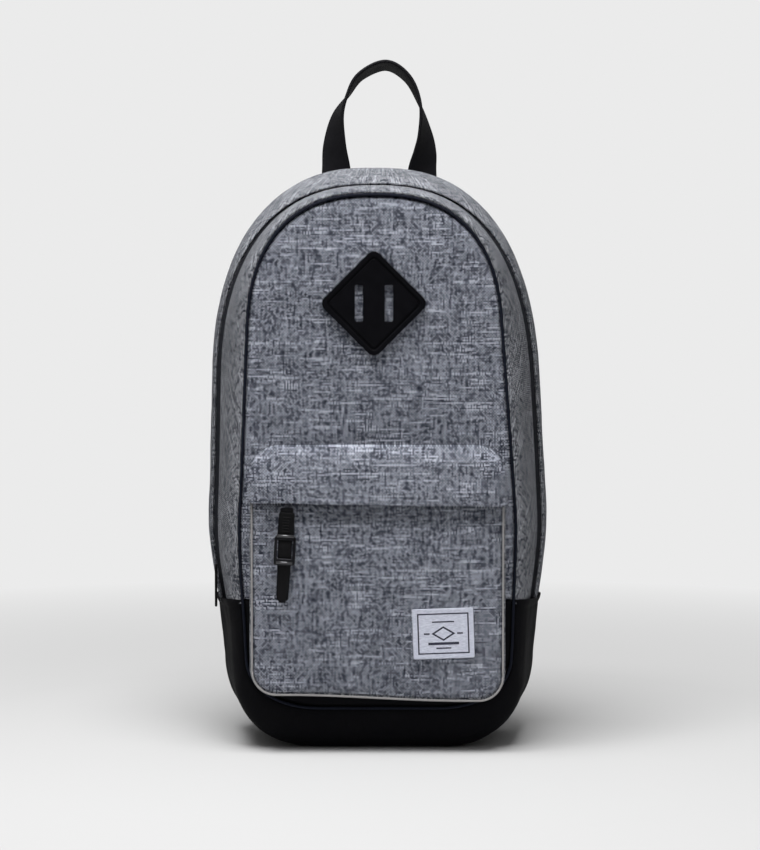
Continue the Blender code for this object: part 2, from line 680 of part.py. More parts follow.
def main():
    clear_scene()
    bag = collection("sling_bag")
    build_body(bag)
    build_front(bag)
    build_diamond_tab(bag)
    build_pocket(bag)
    build_pocket_pull(bag)
    build_main_slider(bag)
    build_haul_loop(bag)
    build_strap(bag)


main()
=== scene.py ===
"""Looks of the sling bag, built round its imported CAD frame.

Lengths are in millimetres here until a mesh is written, and cloth coordinates (the "Cloth" UV map) in metres.
+X is the right of the picture, the front faces -Y and +Z is up.
"""

import json
import math

import bmesh
import bpy
import numpy as np
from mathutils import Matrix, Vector, noise

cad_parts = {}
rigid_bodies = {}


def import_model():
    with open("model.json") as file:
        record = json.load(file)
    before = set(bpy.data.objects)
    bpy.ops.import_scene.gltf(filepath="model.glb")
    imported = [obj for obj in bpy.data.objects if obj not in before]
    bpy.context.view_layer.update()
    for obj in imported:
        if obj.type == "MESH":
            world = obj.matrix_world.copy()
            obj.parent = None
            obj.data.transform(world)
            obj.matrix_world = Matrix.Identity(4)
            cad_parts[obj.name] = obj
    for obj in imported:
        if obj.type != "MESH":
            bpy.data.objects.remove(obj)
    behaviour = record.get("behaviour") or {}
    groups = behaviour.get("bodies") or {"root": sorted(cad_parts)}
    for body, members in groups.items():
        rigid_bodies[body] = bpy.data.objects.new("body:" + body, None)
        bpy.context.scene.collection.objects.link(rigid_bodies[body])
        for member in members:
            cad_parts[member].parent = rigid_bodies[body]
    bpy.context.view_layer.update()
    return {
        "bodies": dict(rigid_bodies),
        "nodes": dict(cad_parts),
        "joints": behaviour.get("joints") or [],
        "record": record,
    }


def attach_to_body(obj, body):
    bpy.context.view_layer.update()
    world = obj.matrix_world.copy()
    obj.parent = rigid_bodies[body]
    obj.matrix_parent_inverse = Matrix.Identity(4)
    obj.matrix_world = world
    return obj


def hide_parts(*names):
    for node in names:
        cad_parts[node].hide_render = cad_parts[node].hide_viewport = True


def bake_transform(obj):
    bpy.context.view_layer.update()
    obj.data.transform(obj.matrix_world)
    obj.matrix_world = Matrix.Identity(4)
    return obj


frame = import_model()

MM = 0.001
CENTRE = np.array((0.0, 0.0, 170.0))

# ---- the bag's own dimensions -----------------------------------------------------------

BELLY_Z = 130.0
ARCH = 2.5
STRAIGHT_SHARE = 0.2
FLAT_SHARE = 0.42
CORNER_POWER = 2.2

FRONT_HALF, FRONT_TOP, FRONT_BOTTOM, FRONT_CORNER, FRONT_Y = 77.8, 313.4, 24.0, 30.0, -40.0
BACK_HALF, BACK_TOP, BACK_BOTTOM, BACK_CORNER, BACK_Y = 92.2, 325.0, 22.0, 34.0, 41.0
ZIP_HALF, ZIP_TOP = 89.6, 316.2
BASE_FLOOR, BASE_ROUND = 0.6, 9.85
CLOTH = 1.6
SWELL_FRAMES = 20

POCKET_HALF, POCKET_BOTTOM, POCKET_TOP = 71.3, 33.0, 172.8
POCKET_Y = -56.8
ZIP_Z = 144.5
HOOD_EDGE_Z = 140.3
PULL_X, PULL_Y, PULL_Z = -50.5, -59.9, 136.6
TAB_X, TAB_Z, TAB_HALF = -2.0, 253.0, 30.8

# The back half and the front half, and two points between them in metres, passed with the base cover and its
# lining; the pieces stay fixed and don't bend.
BASE_BEND = ("bag", "front", (0, -0.0206, 0.0139), (0, -0.0446, 0.0301))

# Grey levels of the backdrop and the floor, and the light that they throw on the bag.
BACKDROP = 0.831
STUDIO_FRONT = 0.42
STUDIO_SIDE = 0.12
FLOOR_BOUNCE = 0.35
FLOOR_TONE = 0.555


# ---- materials --------------------------------------------------------------------------


class Look:
    """A procedural material being put together."""

    def __init__(self, name, roughness=0.8, **sockets):
        self.material = bpy.data.materials.new(name)
        self.material.use_nodes = True
        self.tree = self.material.node_tree
        self.shader = self.tree.nodes["Principled BSDF"]
        self.shader.inputs["Roughness"].default_value = roughness
        for socket, value in sockets.items():
            self.shader.inputs[socket.replace("_", " ").title().replace("Ior", "IOR")].default_value = value

    def feed(self, socket, value):
        if isinstance(value, bpy.types.NodeSocket):
            self.tree.links.new(value, socket)
        else:
            socket.default_value = value

    def node(self, kind, named=None, output=0, **settings):
        made = self.tree.nodes.new("ShaderNode" + kind)
        for key, value in settings.items():
            setattr(made, key, value)
        for key, value in (named or {}).items():
            self.feed(made.inputs[key], value)
        return made.outputs[output]

    def math(self, operation, a, b=0.0, c=0.0):
        named = {0: a, 1: b, 2: c} if operation == "MULTIPLY_ADD" else {0: a, 1: b}
        return self.node("Math", named, operation=operation)

    def add(self, a, b):
        return self.math("ADD", a, b)

    def less(self, a, b):
        return self.math("SUBTRACT", a, b)

    def times(self, a, b):
        return self.math("MULTIPLY", a, b)

    def size(self, a):
        """The value without its sign."""
        return self.math("ABSOLUTE", a)

    def every_other(self, count):
        """0 and 1 in turn as count goes up by one."""
        return self.size(self.math("MODULO", count, 2.0))

    def wave(self, value, period):
        """Rounded ridges, 0 to 1, of which two make a period, in mm."""
        return self.size(self.math("SINE", self.times(value, math.tau / (period * MM))))

    def ramp_value(self, value, low, high, to_low=0.0, to_high=1.0):
        return self.node("MapRange", {0: value, 1: low, 2: high, 3: to_low, 4: to_high})

    def between(self, factor, a, b):
        """A number part way from a to b."""
        return self.node("Mix", {0: factor, 2: a, 3: b}, data_type="FLOAT")

    def between_colours(self, factor, a, b):
        a, b = ((*c, 1.0) if isinstance(c, tuple) else c for c in (a, b))
        return self.node("Mix", {0: factor, 6: a, 7: b}, output=2, data_type="RGBA")

    def cloth_axes(self):
        uv = self.node("UVMap", uv_map="Cloth")
        parts = self.tree.nodes.new("ShaderNodeSeparateXYZ")
        self.tree.links.new(uv, parts.inputs[0])
        return parts.outputs[0], parts.outputs[1]

    def noise2(self, x, y, detail=1.0):
        """Plain noise of two coordinates, about 0.5."""
        at = self.node("CombineXYZ", {0: x, 1: y})
        named = {"Vector": at, "Scale": 1.0, "Detail": detail}
        return self.node("TexNoise", named, noise_dimensions="2D")

    def noise3(self, scale, detail=3.0):
        """Noise in object space; scale is in cycles per metre."""
        at = self.node("TexCoord", output=3)
        return self.node("TexNoise", {"Vector": at, "Scale": scale, "Detail": detail})

    def colours(self, value, stops):
        made = self.tree.nodes.new("ShaderNodeValToRGB")
        ramp = made.color_ramp
        while len(ramp.elements) < len(stops):
            ramp.elements.new(0.5)
        for element, (at, colour) in zip(ramp.elements, stops):
            element.position = at
            element.color = (*colour, 1.0)
        self.tree.links.new(value, made.inputs[0])
        return made.outputs[0]

    def done(self, colour, height=None, distance=0.1, strength=0.7, roughness=None):
        self.feed(self.shader.inputs["Base Color"], colour)
        if height is not None:
            bump = self.node("Bump", {"Height": height, "Strength": strength, "Distance": distance * MM})
            self.feed(self.shader.inputs["Normal"], bump)
        if roughness is not None:
            self.feed(self.shader.inputs["Roughness"], roughness)
        return self.material


def plain_weave(look, u, v, pitch):
    """Thread counts both ways, which thread is on top (1 for the weft) and the threads' roundness."""
    warp, weft = look.math("DIVIDE", u, pitch * MM), look.math("DIVIDE", v, pitch * MM)
    warp_no, weft_no = look.math("FLOOR", warp), look.math("FLOOR", weft)
    over = look.every_other(look.add(warp_no, weft_no))
    crowns = [look.math("SINE", look.times(look.math("FRACT", count), math.pi)) for count in (warp, weft)]
    return warp_no, weft_no, over, look.between(over, *crowns)


def heather(name, stops, pitch=0.78):
    """Crosshatch cloth: slubby light and dark threads both ways in a plain weave."""
    look = Look(name, 0.9, specular_ior_level=0.08)
    u, v = look.cloth_axes()
    warp_no, weft_no, over, crown = plain_weave(look, u, v, pitch)

    def thread(number, along, long, short, shift, contrast, lift):
        """Tone of a thread: its long slubs, its short ones and a few bright ones."""
        row = look.math("MULTIPLY_ADD", number, 1.37, shift)
        slub = look.noise2(look.times(along, long), row, 0.0)
        fleck = look.noise2(look.times(along, short), row, 0.0)
        bright = look.ramp_value(slub, 0.64, 0.78, 0.0, 0.3)
        tone = look.less(look.add(look.times(slub, 0.8), look.times(fleck, 0.6)), 0.72)
        return look.add(look.times(look.add(tone, bright), contrast), lift)

    weft = thread(weft_no, u, 48.0, 190.0, 11.3, 1.75, -0.4)
    warp = thread(warp_no, v, 85.0, 260.0, 91.7, 0.95, 0.34)
    crossing = look.node("CombineXYZ", {0: warp_no, 1: weft_no})
    grain = look.node("TexWhiteNoise", {"Vector": crossing}, noise_dimensions="2D")
    cloud = look.noise2(look.times(u, 22.0), look.times(v, 260.0), 2.0)
    tone = look.add(look.between(over, warp, weft), 0.5)
    tone = look.add(tone, look.ramp_value(grain, 0.0, 1.0, -0.4, 0.4))
    tone = look.add(tone, look.ramp_value(cloud, 0.25, 0.75, -0.06, 0.06))
    # Each thread is darkened towards its edges: painted shade between the threads.
    tone = look.less(tone, look.ramp_value(crown, 0.0, 1.0, 0.2, -0.05))
    return look.done(look.colours(tone, stops), crown, 0.1, 0.5)


def canvas(name, low, high, pitch=0.5, roughness=0.8, distance=0.1):
    """Plain dark cloth with an even weave and faint worn patches."""
    look = Look(name, roughness, specular_ior_level=0.08)
    u, v = look.cloth_axes()
    _, weft_no, _, crown = plain_weave(look, u, v, pitch)
    thread = look.noise2(look.times(u, 160.0), look.times(weft_no, 1.37), 1.0)
    wear = look.noise3(45.0, 4.0)
    # Each thread is darkened towards its edges: painted shade between the threads. The wear noise is random
    # tone.
    tone = look.times(look.add(thread, wear), look.ramp_value(crown, 0.0, 1.0, 0.6, 1.0))
    rough = look.ramp_value(wear, 0.3, 0.7, roughness - 0.08, roughness + 0.08)
    return look.done(look.colours(tone, ((0.2, low), (1.2 / 1.3, high))), crown, distance, 0.6, rough)


def webbing_look(name, low, high, roughness=0.6):
    """Nylon webbing: lengthwise ridges crossed by close slanting picks."""
    look = Look(name, roughness, specular_ior_level=0.12)
    u, v = look.cloth_axes()
    ridge = look.wave(u, 1.3)
    pick = look.wave(look.add(v, look.math("PINGPONG", u, 1.3 * MM)), 1.5)
    height = look.add(look.times(ridge, 0.5), look.times(pick, 0.5))
    wear = look.noise3(70.0, 4.0)
    # The tone follows the ridges' and picks' height, so the grooves get painted shade. The wear noise is
    # random tone.
    tone = look.add(look.times(height, 0.6), look.times(wear, 0.5))
    rough = look.ramp_value(wear, 0.3, 0.7, roughness - 0.1, roughness + 0.1)
    return look.done(look.colours(tone, ((0.2, low), (0.95, high))), height, 0.18, 0.7, rough)


def grained(name, low, high, roughness, scale, distance, metallic=0.0, specular=0.12):
    """A solid material with fine grain: rubber, moulded plastic, painted metal, foam or board."""
    look = Look(name, roughness, metallic=metallic, specular_ior_level=specular)
    fine, broad = look.noise3(scale, 3.0), look.noise3(scale / 14, 3.0)
    tone = look.add(look.times(fine, 0.6), look.times(broad, 0.5))
    rough = look.ramp_value(broad, 0.3, 0.7, roughness - 0.08, roughness + 0.1)
    return look.done(look.colours(tone, ((0.3, low), (0.8, high))), fine, distance, 0.6, rough)


def spacer(name, low, high, pitch=2.6):
    """Knitted spacer mesh: rows of staggered round holes, pitch mm apart."""
    look = Look(name, 0.9, sheen_weight=0.1)
    u, v = look.cloth_axes()
    squeeze = 0.866
    x, y = look.math("DIVIDE", u, pitch * MM), look.math("DIVIDE", v, pitch * MM * squeeze)
    shift = look.times(look.every_other(look.math("FLOOR", y)), 0.5)
    dx = look.less(look.math("FRACT", look.add(x, shift)), 0.5)
    dy = look.times(look.less(look.math("FRACT", y), 0.5), squeeze)
    away = look.math("SQRT", look.add(look.math("POWER", dx, 2.0), look.math("POWER", dy, 2.0)))
    height = look.ramp_value(away, 0.2, 0.42)
    # The holes are painted dark: painted shade in their depth. The noise is random tone.
    tone = look.times(height, look.ramp_value(look.noise3(90.0), 0.2, 0.8, 0.6, 1.0))
    return look.done(look.colours(tone, ((0.0, low), (1.0, high))), height, 0.5, 0.8)


# The label's woven bars: centre (x, z) and half-size, in mm from the label's middle.
LABEL_BARS = (
    (0, -5.6, 8.6, 0.75),
    (0, -8.2, 4.2, 0.4),
    (0, 6.6, 6.2, 0.4),
    (-9.3, 0, 1.6, 0.45),
    (9.3, 0, 1.6, 0.45),
)


def label_look(name):
    """Damask label: white satin ground, navy border and a plain woven device of bars and a lozenge."""
    look = Look(name, 0.7, sheen_weight=0.15)
    u, v = look.cloth_axes()

    def box(cx, cz, w, h):
        """1 inside a box of that centre and half-size, in mm."""
        inside_x = look.math("LESS_THAN", look.size(look.less(u, cx * MM)), w * MM)
        inside_z = look.math("LESS_THAN", look.size(look.less(v, cz * MM)), h * MM)
        return look.times(inside_x, inside_z)

    border = look.less(box(0, 0, 14.4, 11.5), box(0, 0, 13.6, 10.7))
    from_middle = look.add(look.times(look.size(u), 0.62), look.size(v))
    lozenge = look.math("LESS_THAN", look.size(look.less(from_middle, 3.6 * MM)), 0.55 * MM)
    ink = look.math("MAXIMUM", border, lozenge)
    for bar in LABEL_BARS:
        ink = look.math("MAXIMUM", ink, box(*bar))
    _, weft_no, _, crown = plain_weave(look, u, v, 0.28)
    satin = look.noise2(look.times(u, 400.0), look.times(weft_no, 1.3))
    ground = look.colours(satin, ((0.3, (0.50, 0.52, 0.62)), (0.7, (0.68, 0.70, 0.80))))
    colour = look.between_colours(ink, ground, (0.02, 0.021, 0.045))
    return look.done(colour, crown, 0.06, 0.5)


FRONT_GREYS = (
    (0.0, (0.011, 0.0135, 0.0225)),
    (0.5, (0.103, 0.1115, 0.141)),
    (1.0, (0.42, 0.44, 0.505)),
)
SIDE_GREYS = (
    (0.0, (0.014, 0.016, 0.023)),
    (0.5, (0.116, 0.123, 0.141)),
    (1.0, (0.39, 0.40, 0.43)),
)

LOOKS = {
    "crosshatch_front": heather("crosshatch_front_cloth", FRONT_GREYS),
    "crosshatch_side": heather("crosshatch_side_cloth", SIDE_GREYS),
    "black_canvas": canvas("black_canvas_cloth", (0.0009, 0.0009, 0.0014), (0.0034, 0.0034, 0.0046)),
    "piping": canvas("piping_cloth", (0.003, 0.0035, 0.007), (0.010, 0.012, 0.020), 0.4),
    # Pale cloth of the pocket's seam cord: a painted highlight along the seam's ridge.
    "seam_highlight": canvas("seam_highlight_cloth", (0.16, 0.16, 0.165), (0.34, 0.33, 0.33), 0.4),
    "lining": canvas("lining_cloth", (0.16, 0.165, 0.18), (0.32, 0.33, 0.35), 0.45, 0.75),
    "zip_tape": canvas("zip_tape_cloth", (0.006, 0.007, 0.009), (0.022, 0.023, 0.028), 0.45, 0.85, 0.2),
    "zip_teeth": grained("zip_teeth_nylon", (0.006, 0.006, 0.008), (0.02, 0.02, 0.023), 0.38, 3000.0, 0.02),
    "spacer_mesh": spacer("spacer_mesh_knit", (0.006, 0.006, 0.008), (0.075, 0.077, 0.085)),
    "foam": grained("foam_sheet", (0.4, 0.4, 0.37), (0.66, 0.66, 0.62), 0.95, 1500.0, 0.3),
    "board": grained("board_sheet", (0.03, 0.03, 0.03), (0.07, 0.07, 0.068), 0.6, 900.0, 0.1),
    "webbing": webbing_look("webbing_nylon", (0.0016, 0.0016, 0.0022), (0.0095, 0.0092, 0.0115)),
    "rubber": grained(
        "rubber_moulded", (0.0012, 0.0012, 0.002), (0.0036, 0.0036, 0.0052), 0.55, 2600.0, 0.04, 0.0, 0.06
    ),
    "woven_label": label_look("woven_label_damask"),
    "black_metal": grained(
        "black_metal_paint", (0.006, 0.006, 0.008), (0.03, 0.03, 0.033), 0.34, 1400.0, 0.02, 0.6
    ),
    "steel": grained("pull_steel", (0.07, 0.07, 0.075), (0.13, 0.13, 0.135), 0.32, 900.0, 0.01, 0.8, 0.5),
    "pull_strap": grained(
        "pull_strap_rubber", (0.0018, 0.0018, 0.0022), (0.006, 0.006, 0.007), 0.5, 2200.0, 0.05
    ),
    "strap_pad": canvas("strap_pad_cloth", (0.006, 0.006, 0.008), (0.034, 0.034, 0.038), 0.6, 0.85, 0.15),
    "buckle_plastic": grained(
        "buckle_plastic_moulded", (0.006, 0.006, 0.007), (0.016, 0.016, 0.018), 0.36, 2000.0, 0.03
    ),
}

# ---- mesh helpers -----------------------------------------------------------------------


def smooth(t):
    t = np.clip(t, 0.0, 1.0)
    return t * t * (3 - 2 * t)


def ripple(x, y, seed):
    """Smooth noise from -1 to 1 over arrays x and y, which are in noise cells."""
    flat = [noise.noise((a, b, seed)) for a, b in zip(np.ravel(x), np.ravel(y))]
    return np.array(flat).reshape(np.shape(x))


def normals_of(points):
    """Unit normals of a grid of points."""
    du, dv = np.gradient(points, axis=0), np.gradient(points, axis=1)
    square = np.cross(du, dv)
    return square / np.maximum(np.linalg.norm(square, axis=2, keepdims=True), 1e-9)


def outward(points, centre=CENTRE):
    """Unit normals of a grid, turned to point away from centre."""
    normals = normals_of(points)
    side = np.sum(normals * (points - centre), axis=2).sum()
    return normals if side > 0 else -normals


def lengths(points, axis):
    """Running length along one axis of a grid of points."""
    steps = np.linalg.norm(np.diff(points, axis=axis), axis=2)
    total = np.cumsum(steps, axis=axis)
    zero = np.zeros_like(np.take(total, [0], axis=axis))
    return np.concatenate([zero, total], axis=axis)


def unit(vectors):
    return vectors / np.linalg.norm(vectors, axis=-1, keepdims=True)


def heading(line):
    """Unit direction of a line at each of its points."""
    return unit(np.gradient(line, axis=0))


def square_to(direction, ahead):
    """The unit directions nearest to one direction, or to one for each point, that are square to ahead."""
    direction = np.broadcast_to(np.asarray(direction, float), ahead.shape)
    return unit(direction - ahead * np.sum(direction * ahead, axis=1, keepdims=True))


def run_of(line):
    """Running length along a line of points."""
    return np.concatenate([[0], np.cumsum(np.linalg.norm(np.diff(line, axis=0), axis=1))])


def write_mesh(name, points, faces, uv, slot):
    mesh = bpy.data.meshes.new(name)
    mesh.from_pydata((np.asarray(points) * MM).tolist(), [], [tuple(int(i) for i in face) for face in faces])
    layer = mesh.uv_layers.new(name="Cloth")
    index = np.empty(len(mesh.loops), np.int32)
    mesh.loops.foreach_get("vertex_index", index)
    layer.data.foreach_set("uv", (np.asarray(uv) * MM)[index].astype(np.float32).ravel())
    mesh.shade_smooth()
    mesh.materials.append(LOOKS[slot])
    obj = bpy.data.objects.new(name, mesh)
    bpy.context.scene.collection.objects.link(obj)
    return obj


def grid_faces(rows, columns, closed_rows=False, closed_columns=False):
    """Quads of a grid stored row by row; closed_rows joins the last row to the first."""
    made = []
    for i in range(rows if closed_rows else rows - 1):
        k = (i + 1) % rows
        for j in range(columns if closed_columns else columns - 1):
            m = (j + 1) % columns
            made.append((i * columns + j, k * columns + j, k * columns + m, i * columns + m))
    return made


def attach(obj, body, replaced):
    """Hide the nodes that the piece replaces, and let it ride on the body that body names.

    body is a body's name, or (a, b, start, end), whose bodies and points are not used: such a piece is only
    fixed in place.
    """
    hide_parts(*replaced)
    if isinstance(body, str):
        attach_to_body(obj, body)
    else:
        a, b, start, end = body
        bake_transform(obj)
        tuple(start)
        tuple(end)
    return obj


def sheet(name, points, slot, body, replaced=(), thickness=CLOTH, uv=None, away_from=CENTRE):
    """A cloth sheet whose outer side is a grid of points; the cloth's thickness lies inside it.

    The outer side faces away from the point away_from. Without a uv the cloth runs along the grid.
    """
    rows, columns = points.shape[:2]
    faces = grid_faces(rows, columns)
    normals = normals_of(points)
    if np.sum(normals * (points - away_from)) < 0:
        faces = [f[::-1] for f in faces]
    if uv is None:
        along = lengths(points, 1)
        along = np.broadcast_to(along[rows // 2], along.shape)
        uv = np.stack([lengths(points, 0), along], axis=2)
    obj = write_mesh(name, points.reshape(-1, 3), faces, uv.reshape(-1, 2), slot)
    solid = obj.modifiers.new("Thickness", "SOLIDIFY")
    solid.thickness = thickness * MM
    solid.offset = -1
    return attach(obj, body, replaced)


def swell(obj, pinned, pressure, slack, cap):
    """Puff a piece out by cloth simulation with its seams held, and keep the result as its mesh.

    cap is the furthest that a point may move, in mm.
    """
    seams = obj.vertex_groups.new(name="Seams")
    seams.add([int(i) for i in np.flatnonzero(pinned)], 1.0, "REPLACE")
    cloth = obj.modifiers.new("Cloth", "CLOTH")
    cloth.settings.quality = 6
    cloth.settings.mass = 0.2
    cloth.settings.vertex_group_mass = seams.name
    cloth.settings.use_pressure = True
    cloth.settings.uniform_pressure_force = pressure
    cloth.settings.shrink_min = -slack
    cloth.settings.effector_weights.gravity = 0.0
    cloth.collision_settings.use_collision = False
    cloth.point_cache.frame_start, cloth.point_cache.frame_end = 1, SWELL_FRAMES
    for frame_number in range(1, SWELL_FRAMES + 1):
        bpy.context.scene.frame_set(frame_number)
    settled = obj.evaluated_get(bpy.context.evaluated_depsgraph_get()).data
    after = vertices_of(settled)
    before = vertices_of(obj.data)
    moved = after - before
    far = np.linalg.norm(moved, axis=1, keepdims=True)
    before += moved * np.minimum(1.0, cap * MM / np.maximum(far, 1e-9))
    obj.modifiers.remove(cloth)
    obj.vertex_groups.remove(seams)
    obj.data.vertices.foreach_set("co", before.astype(np.float32).ravel())
    obj.data.update()
    bpy.context.scene.frame_set(1)


def vertices_of(mesh):
    flat = np.empty(len(mesh.vertices) * 3, np.float32)
    mesh.vertices.foreach_get("co", flat)
    return flat.reshape(-1, 3).astype(float)


def weld_rim(obj, merge=0.05):
    """Join the points of a mesh that lie within merge mm of each other."""
    shape = bmesh.new()
    shape.from_mesh(obj.data)
    bmesh.ops.remove_doubles(shape, verts=shape.verts, dist=merge * MM)
    shape.to_mesh(obj.data)
    shape.free()


def finer(obj):
    """One level of subdivision over a simulated piece."""
    fine = obj.modifiers.new("Fine", "SUBSURF")
    fine.levels = 1
    fine.render_levels = 1


def spline_rows(rows, per):
    """Rows of numbers resampled smoothly (Catmull-Rom), with per steps between each pair."""
    rows = np.array(rows, float)
    padded = np.vstack([2 * rows[0] - rows[1], rows, 2 * rows[-1] - rows[-2]])
    made = []
    for i in range(len(rows) - 1):
        p0, p1, p2, p3 = padded[i : i + 4]
        curve, twist = 2 * p0 - 5 * p1 + 4 * p2 - p3, 3 * p1 - p0 - 3 * p2 + p3
        for t in np.arange(per) / per:
            made.append(0.5 * (2 * p1 + (p2 - p0) * t + curve * t**2 + twist * t**3))
    made.append(rows[-1])
    return np.array(made)


def sweep(name, line, across, profile, slot, body, replaced=(), closed=False, widths=None):
    """A solid band: a closed profile of (across, out) pairs carried along a line of points."""
    line, profile = np.asarray(line, float), np.asarray(profile, float)
    ahead = unit(np.roll(line, -1, 0) - np.roll(line, 1, 0)) if closed else heading(line)
    across = square_to(across, ahead)
    out = np.cross(ahead, across)
    widths = np.ones(len(line)) if widths is None else np.asarray(widths)
    side = profile[None, :, 0] * widths[:, None]
    points = line[:, None] + across[:, None] * side[..., None] + out[:, None] * profile[None, :, 1, None]
    rows, columns = points.shape[:2]
    faces = grid_faces(rows, columns, closed, True)
    if not closed:
        faces += [tuple(range(columns)), tuple((rows - 1) * columns + j for j in reversed(range(columns)))]
    uv = np.stack([side, np.broadcast_to(run_of(line)[:, None], side.shape)], axis=2)
    obj = write_mesh(name, points.reshape(-1, 3), faces, uv.reshape(-1, 2), slot)
    return attach(obj, body, replaced)


def circle(radius, steps=10):
    return [(radius * math.cos(a), radius * math.sin(a)) for a in np.arange(steps) * math.tau / steps]


def band_profile(width, thickness, steps=12):
    """Cross-section of webbing: flat faces and rounded edges, with vertices across the width."""
    half, r = width / 2, thickness / 2
    inner = half - r
    upper = [(x, r) for x in np.linspace(inner, -inner, steps)]
    left = [(-inner - r * math.sin(a), r * math.cos(a)) for a in np.linspace(0, math.pi, 6)[1:-1]]
    lower = [(x, -r) for x in np.linspace(-inner, inner, steps)]
    right = [(inner + r * math.sin(a), -r * math.cos(a)) for a in np.linspace(0, math.pi, 6)[1:-1]]
    return upper + left + lower + right


def rounded(corners, radius, steps=5):
    """A closed polygon with its corners rounded."""
    made = []
    count = len(corners)
    for i, corner in enumerate(corners):
        at = Vector(corner)
        back = (Vector(corners[i - 1]) - at).normalized()
        ahead = (Vector(corners[(i + 1) % count]) - at).normalized()
        half = back.angle(ahead) / 2
        cut = radius / math.tan(half)
        start, end = at + back * cut, at + ahead * cut
        middle = at + (back + ahead).normalized() * radius / math.sin(half)
        for k in range(steps + 1):
            arm = (start - middle).lerp(end - middle, k / steps)
            made.append(tuple(middle + arm.normalized() * radius))
    return made


def box_loop(cx, cz, w, h, radius, steps=4):
    return rounded([(cx + w, cz - h), (cx + w, cz + h), (cx - w, cz + h), (cx - w, cz - h)], radius, steps)


def plate_mesh(name, loops, thickness, edge):
    """Points and faces of a flat plate in the XY plane, from closed (x, y) outlines, with rounded edges."""
    curve = bpy.data.curves.new(name, "CURVE")
    curve.dimensions = "2D"
    curve.fill_mode = "BOTH"
    curve.extrude = (thickness / 2 - edge) * MM
    curve.bevel_depth = edge * MM
    curve.bevel_resolution = 2
    curve.offset = -edge * MM
    for loop in loops:
        spline = curve.splines.new("POLY")
        spline.points.add(len(loop) - 1)
        for item, (x, y) in zip(spline.points, loop):
            item.co = (x * MM, y * MM, 0, 1)
        spline.use_cyclic_u = True
    made = bpy.data.objects.new(name, curve)
    mesh = bpy.data.meshes.new_from_object(made)
    bpy.data.objects.remove(made)
    bpy.data.curves.remove(curve)
    points = np.array([v.co for v in mesh.vertices]) / MM
    faces = [tuple(p.vertices) for p in mesh.polygons]
    bpy.data.meshes.remove(mesh)
    return points, faces


def plate(name, loops, thickness, edge, place, slot, body, replaced=()):
    """A flat plate put where place says: a function from plate points (x, y, depth) to the frame, in mm."""
    points, faces = plate_mesh(name, loops, thickness, edge)
    obj = write_mesh(name, place(points), faces, points[:, :2], slot)
    for polygon in obj.data.polygons:
        if abs(polygon.normal.y) > 0.999:
            polygon.use_smooth = False
    weld = obj.modifiers.new("Weld", "WELD")
    weld.merge_threshold = 0.00001
    return attach(obj, body, replaced)


def facing(y, cx=0.0, cz=0.0, lean=0.0):
    """A plate's placement: upright, facing the front, turned by lean degrees about its centre."""
    a = math.radians(lean)

    def place(p):
        x = p[:, 0] * math.cos(a) - p[:, 1] * math.sin(a)
        z = p[:, 0] * math.sin(a) + p[:, 1] * math.cos(a)
        return np.stack([cx + x, y - p[:, 2], cz + z], axis=1)

    return place


def beads(name, centres, ahead, up, size, slot, body, replaced=(), steps=(8, 4)):
    """Many small rounded pieces in one mesh: stitches or zip teeth.

    size is half their length, width and height.
    """
    around, rings = steps
    bead = []
    for a in np.linspace(0, math.pi, rings + 1):
        for b in np.arange(around) * math.tau / around:
            bead.append((math.cos(a), math.sin(a) * math.cos(b), math.sin(a) * math.sin(b)))
    bead = np.array(bead) * np.array(size)
    faces = grid_faces(rings + 1, around, False, True)
    ahead = unit(ahead)
    up = square_to(up, ahead)
    axes = np.stack([ahead, np.cross(up, ahead), up], axis=1)
    points = (centres[:, None] + bead @ axes).reshape(-1, 3)
    every = [tuple(i + k * len(bead) for i in face) for k in range(len(centres)) for face in faces]
    obj = write_mesh(name, points, every, points[:, :2], slot)
    return attach(obj, body, replaced)


def spaced(line, step):
    """Points every step mm along a line, with the directions there."""
    line = np.asarray(line, float)
    run = run_of(line)
    at = np.arange(step / 2, run[-1], step)
    points = np.stack([np.interp(at, run, line[:, k]) for k in range(3)], axis=1)
    return points, np.gradient(points, axis=0)


def stitches(name, line, up, slot, body, length=2.3, gap=1.1, thread=0.24):
    """A row of sewn stitches along a line, standing up from the cloth."""
    centres, ahead = spaced(line, length + gap)
    ups = np.broadcast_to(np.asarray(up, float), centres.shape)
    return beads(name, centres, ahead, ups, (length / 2, thread, thread), slot, body)


# ---- outlines of the bag ----------------------------------------------------------------


def lean(z):
    """The bag stands a touch askew: its top sits to the left."""
    return -1.7 * smooth((z - 130) / 130) + 0.7 * smooth((110 - z) / 50)


def frontness(y):
    """0 from the zip back, rising to 1 at the front seam."""
    return (np.clip(-y, 0, 40) / 40) ** 1.5


def spring_z(y):
    """Height at which the straight side turns into the arch."""
    return 203 + 37 * frontness(y)


def side_share(z, y):
    """Half width at height z as a share of that at the belly."""
    z = np.asarray(z, float)
    above = (0.00042 + 0.00032 * frontness(y)) * np.clip(z - BELLY_Z, 0, None)
    waist = 0.078 - 0.045 * frontness(y)
    below = waist * smooth((124 - z) / 72) + 0.0008 * np.clip(60 - z, 0, None)
    return 1 - above - below


def base_top(y):
    """Height of the black cover's top edge."""
    return 85.6 - 0.1 * (min(y, 10.0) + 40)


def arch_line(y, half, top, s, low=None):
    """Points at s (0 to 1): up the left side, over the arch and down the right side."""
    straight = STRAIGHT_SHARE
    low = base_top(y) - 2.5 if low is None else low
    spring = spring_z(y)
    left, right = s < straight, s > 1 - straight
    share = np.where(left, s, 1 - s) / straight
    z_side = low + (spring - low) * share
    a = np.pi * (s - straight) / (1 - 2 * straight)
    cos, sin = np.cos(a), np.clip(np.sin(a), 0, None)
    z_arch = spring + (top - spring) * sin ** (2 / ARCH)
    z = np.where(left | right, z_side, z_arch)
    x = np.where(left, -1, np.where(right, 1, -np.sign(cos) * np.abs(cos) ** (2 / ARCH)))
    x = x * half * side_share(z, y)
    return np.stack([x + lean(z), np.full_like(x, y), z], axis=1)


